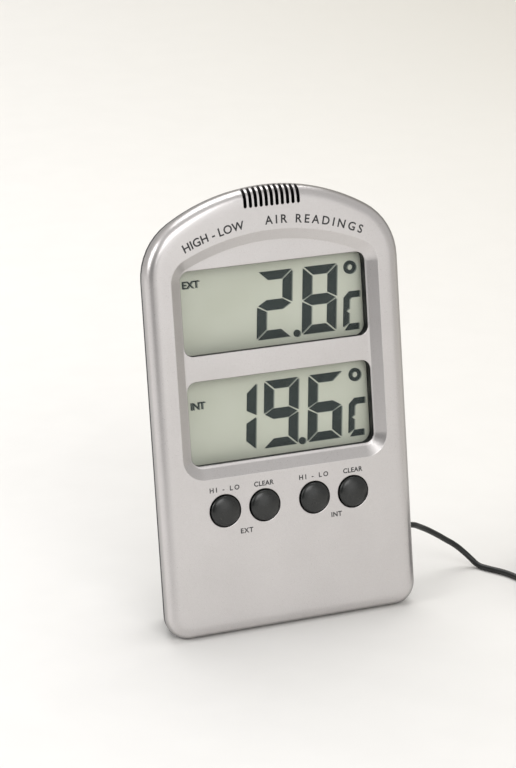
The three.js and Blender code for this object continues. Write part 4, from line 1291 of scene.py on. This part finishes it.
@dataclass(frozen=True)
class Lettering:
    """The printed words on the face."""

    arch_centre: float = 43.9
    arch_radius: float = 62.05
    ink: float = 0.03

    @staticmethod
    def outline(text: str, spacing: float, weight: float) -> bmesh.types.BMesh:
        """The flat letters in the text's own plane.

        Args:
            text: The words.
            spacing: Space between letters, as a share of the usual.
            weight: How much bolder the letters are.

        Returns:
            The letters as flat faces.
        """
        curve = bpy.data.curves.new("letters", "FONT")
        curve.body, curve.space_character, curve.offset = text, spacing, weight
        curve.align_x, curve.align_y, curve.resolution_u = "CENTER", "CENTER", 4
        holder = bpy.data.objects.new("letters", curve)
        bpy.context.scene.collection.objects.link(holder)
        graph = bpy.context.evaluated_depsgraph_get()
        mesh = bpy.data.meshes.new_from_object(holder.evaluated_get(graph))
        bm = bmesh.new()
        bm.from_mesh(mesh)
        bpy.data.meshes.remove(mesh)
        bpy.data.objects.remove(holder)
        bpy.data.curves.remove(curve)
        return bm

    @staticmethod
    def extent(bm: bmesh.types.BMesh) -> tuple[float, float, float, float]:
        """The lowest and highest x and y of a flat mesh."""
        xs, ys = [v.co.x for v in bm.verts], [v.co.y for v in bm.verts]
        return min(xs), max(xs), min(ys), max(ys)

    @classmethod
    def flat(cls, text: str, height: float, width: float, weight: float = 0.0) -> bmesh.types.BMesh:
        """Letters of a given height, spaced out to a given width, standing on the face.

        Args:
            text: The words.
            height: Height of the capitals.
            width: Width of the whole text.
            weight: How much bolder the letters are.

        Returns:
            The letters as flat faces, centred, in the plane of the face.
        """
        spans = []
        for spacing in (1.0, 2.0):
            trial = cls.outline(text, spacing, weight)
            left, right, low, high = cls.extent(trial)
            spans.append((right - left) * height / (high - low))
            trial.free()
        spacing = 1 + (width - spans[0]) / (spans[1] - spans[0])
        bm = cls.outline(text, spacing, weight)
        left, right, low, high = cls.extent(bm)
        scale = height / (high - low)
        centre = Matrix.Translation((-(left + right) / 2, -(low + high) / 2, 0))
        upright = Matrix.Rotation(math.pi / 2, 4, "X") @ Matrix.Scale(scale, 4)
        return moved(bm, upright @ centre)

    def bent(self, bm: bmesh.types.BMesh, angle: float) -> bmesh.types.BMesh:
        """Flat letters bent along the arch over the display.

        Args:
            bm: The letters.
            angle: Where their middle stands, from straight up, in degrees.

        Returns:
            The same letters on the arch.
        """
        for vertex in bm.verts:
            turn = math.radians(angle) + vertex.co.x / self.arch_radius
            radius = self.arch_radius + vertex.co.z
            vertex.co.x = radius * math.sin(turn)
            vertex.co.z = self.arch_centre + radius * math.cos(turn)
        return bm

    def build(self) -> None:
        """Prints the title over the display and the words round the buttons."""
        words = [self.bent(self.flat("HIGH - LOW", 2.25, 17.4, 0.02), -15.4),
                 self.bent(self.flat("AIR READINGS", 2.25, 27.6, 0.02), 10.7)]
        labels = (("HI - LO", -17.8, 38.45, 8.2), ("CLEAR", -6.9, 38.45, 5.5),
                  ("HI - LO", 7.05, 38.45, 8.2), ("CLEAR", 18.15, 38.45, 5.5),
                  ("EXT", -12.35, 26.8, 3.5), ("INT", 12.9, 27.4, 3.0))
        for text, x, z, width in labels:
            words.append(moved(self.flat(text, 1.32, width, 0.028), at(x, 0, z)))
        bm = moved(together(words), at(0, -0.005, 0))
        thickened(bm, self.ink)
        finished("printed_words", bm, (INK,), "case", angle=20)


@dataclass(frozen=True)
class Grommet:
    """The rubber grommet where the lead leaves the case."""

    bore: float = 1.1
    neck: float = 1.9
    flange: float = 2.7

    @staticmethod
    def seat() -> Matrix:
        """The grommet's axis, square to the sloping side, with 0 at the outside of the wall."""
        depth = 10.3
        x = OUTLINE.half - RIM_STEP - (depth - RIM_BACK) * math.tan(DRAFT)
        return at(x, depth, 18.4) @ Matrix.Rotation(DRAFT - math.pi / 2, 4, "Z")

    def build(self) -> None:
        """Makes the grommet with its rounded nose."""
        inside = -WALL - GAP
        profile = rounded([
            (self.bore, inside - 0.6, 0.1), (self.flange, inside - 0.6, 0.2),
            (self.flange, inside, 0.1), (self.neck, inside, 0.05), (self.neck, GAP, 0.05),
            (self.flange, GAP, 0.1), (self.flange, GAP + 0.6, 0.25),
            (self.bore + 0.6, GAP + 1.3, 0.2), (self.bore, GAP + 1.3, 0.1)], closed=True, steps=3)
        ring = moved(turned(profile, 40, closed=True), self.seat())
        finished("lead_grommet", ring, (RUBBER,), "case", ("cable_grommet",))


@dataclass
class ProbeLead:
    """The thin lead, wound up beyond its loose stretch, with its tie and its probe."""

    radius: float = 0.8
    length: float = 3.0
    route: ClassVar[tuple[tuple[float, float, float], ...]] = (
        (0.0195, -0.0062, 0.0285), (0.024, -0.006, 0.029), (0.0282, -0.007, 0.0281),
        (0.0292, -0.0093, 0.0243), (0.0285, -0.0115, 0.0205), (0.0287, -0.0119, 0.0182),
        (0.03039, -0.01132, 0.01711), (0.0328, -0.01036, 0.01696), (0.03503, -0.00948, 0.01681),
        (0.04, -0.008, 0.0161), (0.0436, -0.0061, 0.0142), (0.0491, -0.0045, 0.0107),
        (0.0522, -0.0041, 0.0085), (0.0553, -0.0042, 0.0063), (0.0575, -0.0048, 0.0043),
        (0.0592, -0.0058, 0.0025), (0.0606, -0.0077, 0.001), (0.0623, -0.0106, 0.0008),
        (0.0643, -0.0136, 0.0008), (0.0657, -0.0163, 0.0008), (0.0666, -0.0192, 0.0008),
        (0.0671, -0.0217, 0.0008), (0.0673, -0.0238, 0.0008),
    )
    exit: tuple[float, float, float] = (0.03503, -0.00948, 0.01681)
    columns: int = 6
    layers: int = 6
    pitch: float = 1.65
    step: float = 20.0
    heading: float = 64.0
    sleeve_back: float = -9.0
    leaving: float = 183.0
    clear: float = 0.05
    over: ClassVar[tuple[tuple[float, float, float], ...]] = (
        (198, 16.9, -0.8), (212, 16.3, 0.0), (225, 15.2, 0.3), (236, 13.9, 0.8))
    into_sleeve: tuple[float, ...] = (-1.8, 0.0, 2.0)
    last_sag: float = 0.35

    def __post_init__(self) -> None:
        """Takes the coil's place from its CAD solid."""
        low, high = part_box("cable_coil")
        self.centre = (low + high) / 2 / MM
        self.outer = (high.x - low.x) / 2 / MM - self.radius - self.clear
        self.floor = low.z / MM + self.radius
        self.top = high.z / MM

    def on_coil(self, angle: float, radius: float, z: float) -> Vector:
        """A point of the coil, in millimetres in the frame."""
        turn = math.radians(angle)
        return Vector((self.centre.x + radius * math.cos(turn),
                       self.centre.y + radius * math.sin(turn), z))

    def turns(self) -> list[Vector]:
        """The lead wound in level layers, each turn a pitch inside or outside the last.

        Returns:
            The points of the coil, in millimetres in the frame.
        """
        radii = [self.outer - self.pitch * column for column in range(self.columns)]
        angle, points = 180.0, []
        for layer in range(self.layers):
            z = self.floor + self.pitch * layer
            for column, radius in enumerate(radii if layer % 2 == 0 else radii[::-1]):
                ends = column in (0, self.columns - 1)
                hold = 360 - self.step * (2 if ends else 1)
                if layer == self.layers - 1 and column == self.columns - 1:
                    hold = (self.leaving - angle) % 360
                for stop in range(int(hold / self.step) + 1):
                    points.append(self.on_coil(angle + stop * self.step, radius, z))
                angle += hold + self.step
        return points

    def tail(self) -> list[Vector]:
        """The lead's end, over the coil and into the probe's sleeve.

        Returns:
            The points, in millimetres in the frame.
        """
        lift = self.top + self.radius + self.clear
        over = [self.on_coil(angle, radius, lift + rise) for angle, radius, rise in self.over]
        turn = math.radians(self.heading)
        along = Vector((math.cos(turn), math.sin(turn), 0))
        axis = Vector((self.centre.x, self.centre.y, self.probe_height()))
        ends = [axis + along * (self.sleeve_back + back) for back in self.into_sleeve]
        ends[0].z -= self.last_sag
        return [*over, *ends]

    def probe_height(self) -> float:
        """Height of the probe's axis, in millimetres."""
        low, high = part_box("probe_sleeve")
        return (low.z + high.z) / 2 / MM

    def lead(self, pieces: Sequence[bpy.types.Object]) -> None:
        """The lead as one smooth curve.

        Args:
            pieces: The pieces on its far end; not used.
        """
        wound = [point * MM for point in [*self.turns(), *self.tail()]]
        points = [*(Vector(point) for point in self.route), *wound]
        curve = bpy.data.curves.new("sensor_lead", "CURVE")
        curve.dimensions, curve.bevel_depth, curve.bevel_resolution = "3D", self.radius * MM, 3
        curve.resolution_u, curve.use_fill_caps = 4, True
        spline = curve.splines.new("BEZIER")
        spline.bezier_points.add(len(points) - 1)
        for knot, point in zip(spline.bezier_points, points):
            knot.co = point
            knot.handle_left_type = knot.handle_right_type = "AUTO"
        curve.materials.append(CABLE_PVC.material())
        lead = bpy.data.objects.new("sensor_lead", curve)
        bpy.context.scene.collection.objects.link(lead)
        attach(lead, "case")
        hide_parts("probe_cable", "cable_coil")
        log.info("sensor_lead: %d points", len(points))

    def probe_axes(self) -> Matrix:
        """The probe's own axes in the frame: its length along y, in millimetres."""
        turn = Matrix.Rotation(math.radians(self.heading) - math.pi / 2, 4, "Z")
        place = Vector((self.centre.x, self.centre.y, self.probe_height())) * MM
        return Matrix.Translation(place) @ turn @ Matrix.Scale(MM, 4)

    def sleeve(self) -> bpy.types.Object:
        """The moulded sleeve, with ribs that let it bend where the lead enters."""
        back = self.sleeve_back
        corners = [(0, back + 0.6, 0), (1.0, back + 0.6, 0), (1.1, back, 0.1), (1.35, back, 0.15)]
        for index in range(4):
            start, wide = back + 0.5 + index * 0.95, 1.55 + index * 0.22
            corners += [(wide - 0.2, start, 0.08), (wide, start + 0.15, 0.08),
                        (wide, start + 0.55, 0.08), (wide - 0.2, start + 0.7, 0.08)]
        front = back + 12
        corners += [(2.2, back + 4.3, 0.1), (2.5, back + 4.8, 0.3), (2.5, front, 0.35),
                    (0, front, 0)]
        body = turned(rounded(corners, steps=3), 48)
        return finished("probe_strain_sleeve", body, (RUBBER,), "case",
                        ("probe_sleeve",), axes=self.probe_axes())

    def tip(self) -> bpy.types.Object:
        """The round-nosed steel tube, rolled into a groove where it meets the sleeve."""
        back, r = self.sleeve_back + 12.3, 2.2
        front = back + 16.7
        profile = rounded([(0, back, 0), (r, back, 0.1), (r, back + 1.2, 0.2),
                           (r - 0.25, back + 1.6, 0.3), (r - 0.25, back + 2.0, 0.3),
                           (r, back + 2.4, 0.2), (r, front - r, 0)], steps=3)
        nose = [(r * math.cos(a), front - r + r * math.sin(a))
                for a in (math.radians(step * 9) for step in range(1, 10))]
        body = turned([*profile, *nose, (0, front)], 48)
        return finished("probe_tube", body, (PROBE_STEEL,), "case", ("probe_tip",),
                        axes=self.probe_axes())

    def tie(self) -> bpy.types.Object:
        """The strap round the coil's section."""
        thick, half = 0.45, 1.45
        inner = self.outer - self.pitch * (self.columns - 1)
        x = (inner - self.radius - 0.3, self.outer + self.radius + 0.3)
        z = (0.25, self.top + 0.3)
        loops = []
        for grow, side in ((0, -half), (thick, -half), (thick, half), (0, half)):
            outline = rectangle(x, (z[0] + (0.2 if grow else 0), z[1]), 1.4, grow)
            loops.append([Vector((a, side, b)) for a, b in outline])
        strap = loft(loops, closed=True)
        turn = Matrix.Rotation(math.radians(-60), 4, "Z")
        middle = Vector((self.centre.x, self.centre.y, 0)) * MM
        place = Matrix.Translation(middle) @ turn @ Matrix.Scale(MM, 4)
        return finished("coil_strap", strap, (WHITE_PLASTIC,), "case",
                        ("coil_tie",), axes=place, angle=50)

    def build(self) -> None:
        """Makes the lead and everything on it."""
        self.lead([self.sleeve(), self.tip(), self.tie()])


@dataclass(frozen=True)
class Insides:
    """The finishes of the CAD pieces that keep their own shape."""

    finishes: ClassVar[dict[str, Finish]] = {
        "display_lens": LENS, "lcd_front_glass": LCD_FILM, "lcd_rear_glass": GLASS,
        "lcd_reflector": REFLECTOR, "lcd_holder": INNER_PLASTIC, "zebra_strip_lower": ZEBRA,
        "zebra_strip_upper": ZEBRA, "circuit_board": LAMINATE, "controller_blob": RESIN,
        "crystal_can": STEEL, "indoor_thermistor": RESIN, "unit_switch_body": INNER_PLASTIC,
        **{f"switch_body_{n}": INNER_PLASTIC for n in range(1, 5)},
        **{f"button_plunger_{n}": BUTTON_RUBBER for n in range(1, 5)},
        **{f"board_screw_{n}": SCREW_STEEL for n in range(1, 4)},
    }

    def build(self) -> None:
        """Dresses each piece."""
        for name, finish in self.finishes.items():
            piece = frame["nodes"][name]
            if not piece.material_slots:
                piece.data.materials.append(None)
            for place in piece.material_slots:
                place.material = finish.material()
            log.info("%s: %s", name, finish.name)


@dataclass(frozen=True)
class Studio:
    """The camera, the pale floor and the soft lights."""

    camera_place: tuple[float, float, float] = (-0.2583, -0.61807, 0.28992)
    azimuth: float = -22.574
    elevation: float = 19.03
    lens: float = 127.31
    lights: ClassVar[tuple[tuple, ...]] = (
        ("key", (-1.15, 0.0, 0.7), (0.0, 0.0, 0.05), 0.7, 5.5),
        ("top", (0.15, 0.45, 1.0), (0.0, 0.1, 0.05), 0.9, 7.5),
        ("fill", (-0.08, -1.0, 0.75), (0.0, 0.0, 0.06), 0.6, 3.8),
        ("front", (0.32, -1.2, 0.27), (0.0, 0.0, 0.06), 0.5, 0.8),
    )

    def camera(self) -> None:
        """The camera, at the chosen side and height."""
        turn, drop = math.radians(self.azimuth), math.radians(self.elevation)
        back = Vector((math.sin(turn) * math.cos(drop), -math.cos(turn) * math.cos(drop),
                       math.sin(drop)))
        data = bpy.data.cameras.new("camera")
        data.lens, data.sensor_width = self.lens, 36
        data.clip_start, data.clip_end = 0.01, 50
        camera = bpy.data.objects.new("camera", data)
        camera.location = self.camera_place
        camera.rotation_euler = (-back).to_track_quat("-Z", "Y").to_euler()
        bpy.context.scene.collection.objects.link(camera)
        bpy.context.scene.camera = camera

    def floor(self) -> None:
        """A wide pale sheet that curves up behind the object."""
        bm = bmesh.new()
        path = rounded([(-4.0, 0.0, 0), (1.5, 0.0, 1.0), (1.5, 3.0, 0)], steps=24)
        rows = [[bm.verts.new((x, y, z - 0.00002)) for y, z in path] for x in (-5.0, 5.0)]
        edges = [[bm.edges.new(pair) for pair in zip(row, row[1:])] for row in rows]
        bmesh.ops.bridge_loops(bm, edges=edges[0] + edges[1])
        bmesh.ops.recalc_face_normals(bm, faces=bm.faces)
        sheet = as_object("paper_sweep", bm)
        sheet.data.shade_smooth()
        # The darker band is painted shade: the sheet darkens from x -0.15 m to 0.45 m, on the side away
        # from the key light.
        paper = Banded("backdrop_paper_painted_shade", "eeedec", "ecebea", 0.85, relief=0.01, gloss=0.2,
                       band="d8d5cd", starts=-0.15, width=0.6)
        sheet.data.materials.append(paper.material())

    card_place: tuple[float, float, float] = (-0.67, -0.74, 0.36)
    card_turn: float = -42.0
    card_size: tuple[float, float, float] = (0.75, 0.7, 1.0)

    def dark_card(self) -> None:
        """A black card beside the camera that gives the bevels a dark side."""
        bm = bmesh.new()
        bmesh.ops.create_grid(bm, x_segments=1, y_segments=1, size=0.5)
        bmesh.ops.scale(bm, vec=self.card_size, verts=bm.verts)
        upright = Matrix.Rotation(math.pi / 2, 4, "X")
        turn = Matrix.Rotation(math.radians(self.card_turn), 4, "Z") @ upright
        moved(bm, Matrix.Translation(self.card_place) @ turn)
        card = as_object("black_card", bm)
        felt = Finish("black_felt", "0b0d10", "0f1114", 0.9, gloss=0.1)
        card.data.materials.append(felt.material())

    def light(self, name: str, place: Sequence[float], aim: Sequence[float], size: float,
              power: float) -> None:
        """A square soft light.

        Args:
            name: Its name.
            place: Where it hangs, in metres.
            aim: The point it faces.
            size: Its side, in metres.
            power: Its power, in watts.
        """
        data = bpy.data.lights.new(name, "AREA")
        data.shape, data.size, data.energy = "SQUARE", size, power
        lamp = bpy.data.objects.new(name, data)
        lamp.location = place
        facing = Vector(aim) - Vector(place)
        lamp.rotation_euler = facing.to_track_quat("-Z", "Y").to_euler()
        bpy.context.scene.collection.objects.link(lamp)

    def sky(self) -> None:
        """The soft light from all round."""
        world = bpy.data.worlds.new("soft_room")
        bpy.context.scene.world = world
        world.use_nodes = True
        tree = Tree(world.node_tree)
        around_light = tree.add("ShaderNodeBackground", {
            "Color": (1.0, 0.985, 0.965, 1.0), "Strength": 0.55})
        tree.add("ShaderNodeOutputWorld", {"Surface": around_light.outputs["Background"]})
        view = bpy.context.scene.view_settings
        view.view_transform, view.look = "Standard", "None"

    def build(self) -> None:
        """Sets the camera, the floor and the lights."""
        self.camera()
        self.floor()
        self.dark_card()
        self.sky()
        for setting in self.lights:
            self.light(*setting)


def main() -> None:
    """Builds the scene: the camera and the lead first, then the case from front to back."""
    Studio().build()
    ProbeLead().build()
    Grommet().build()
    FrontShell().build()
    rear = RearShell()
    rear.build()
    BatteryBay().build(rear)
    Stand().build()
    UnitSwitch().build()
    Buttons().build()
    Display().build()
    Lettering().build()
    Insides().build()


if __name__ == "__main__":
    main()
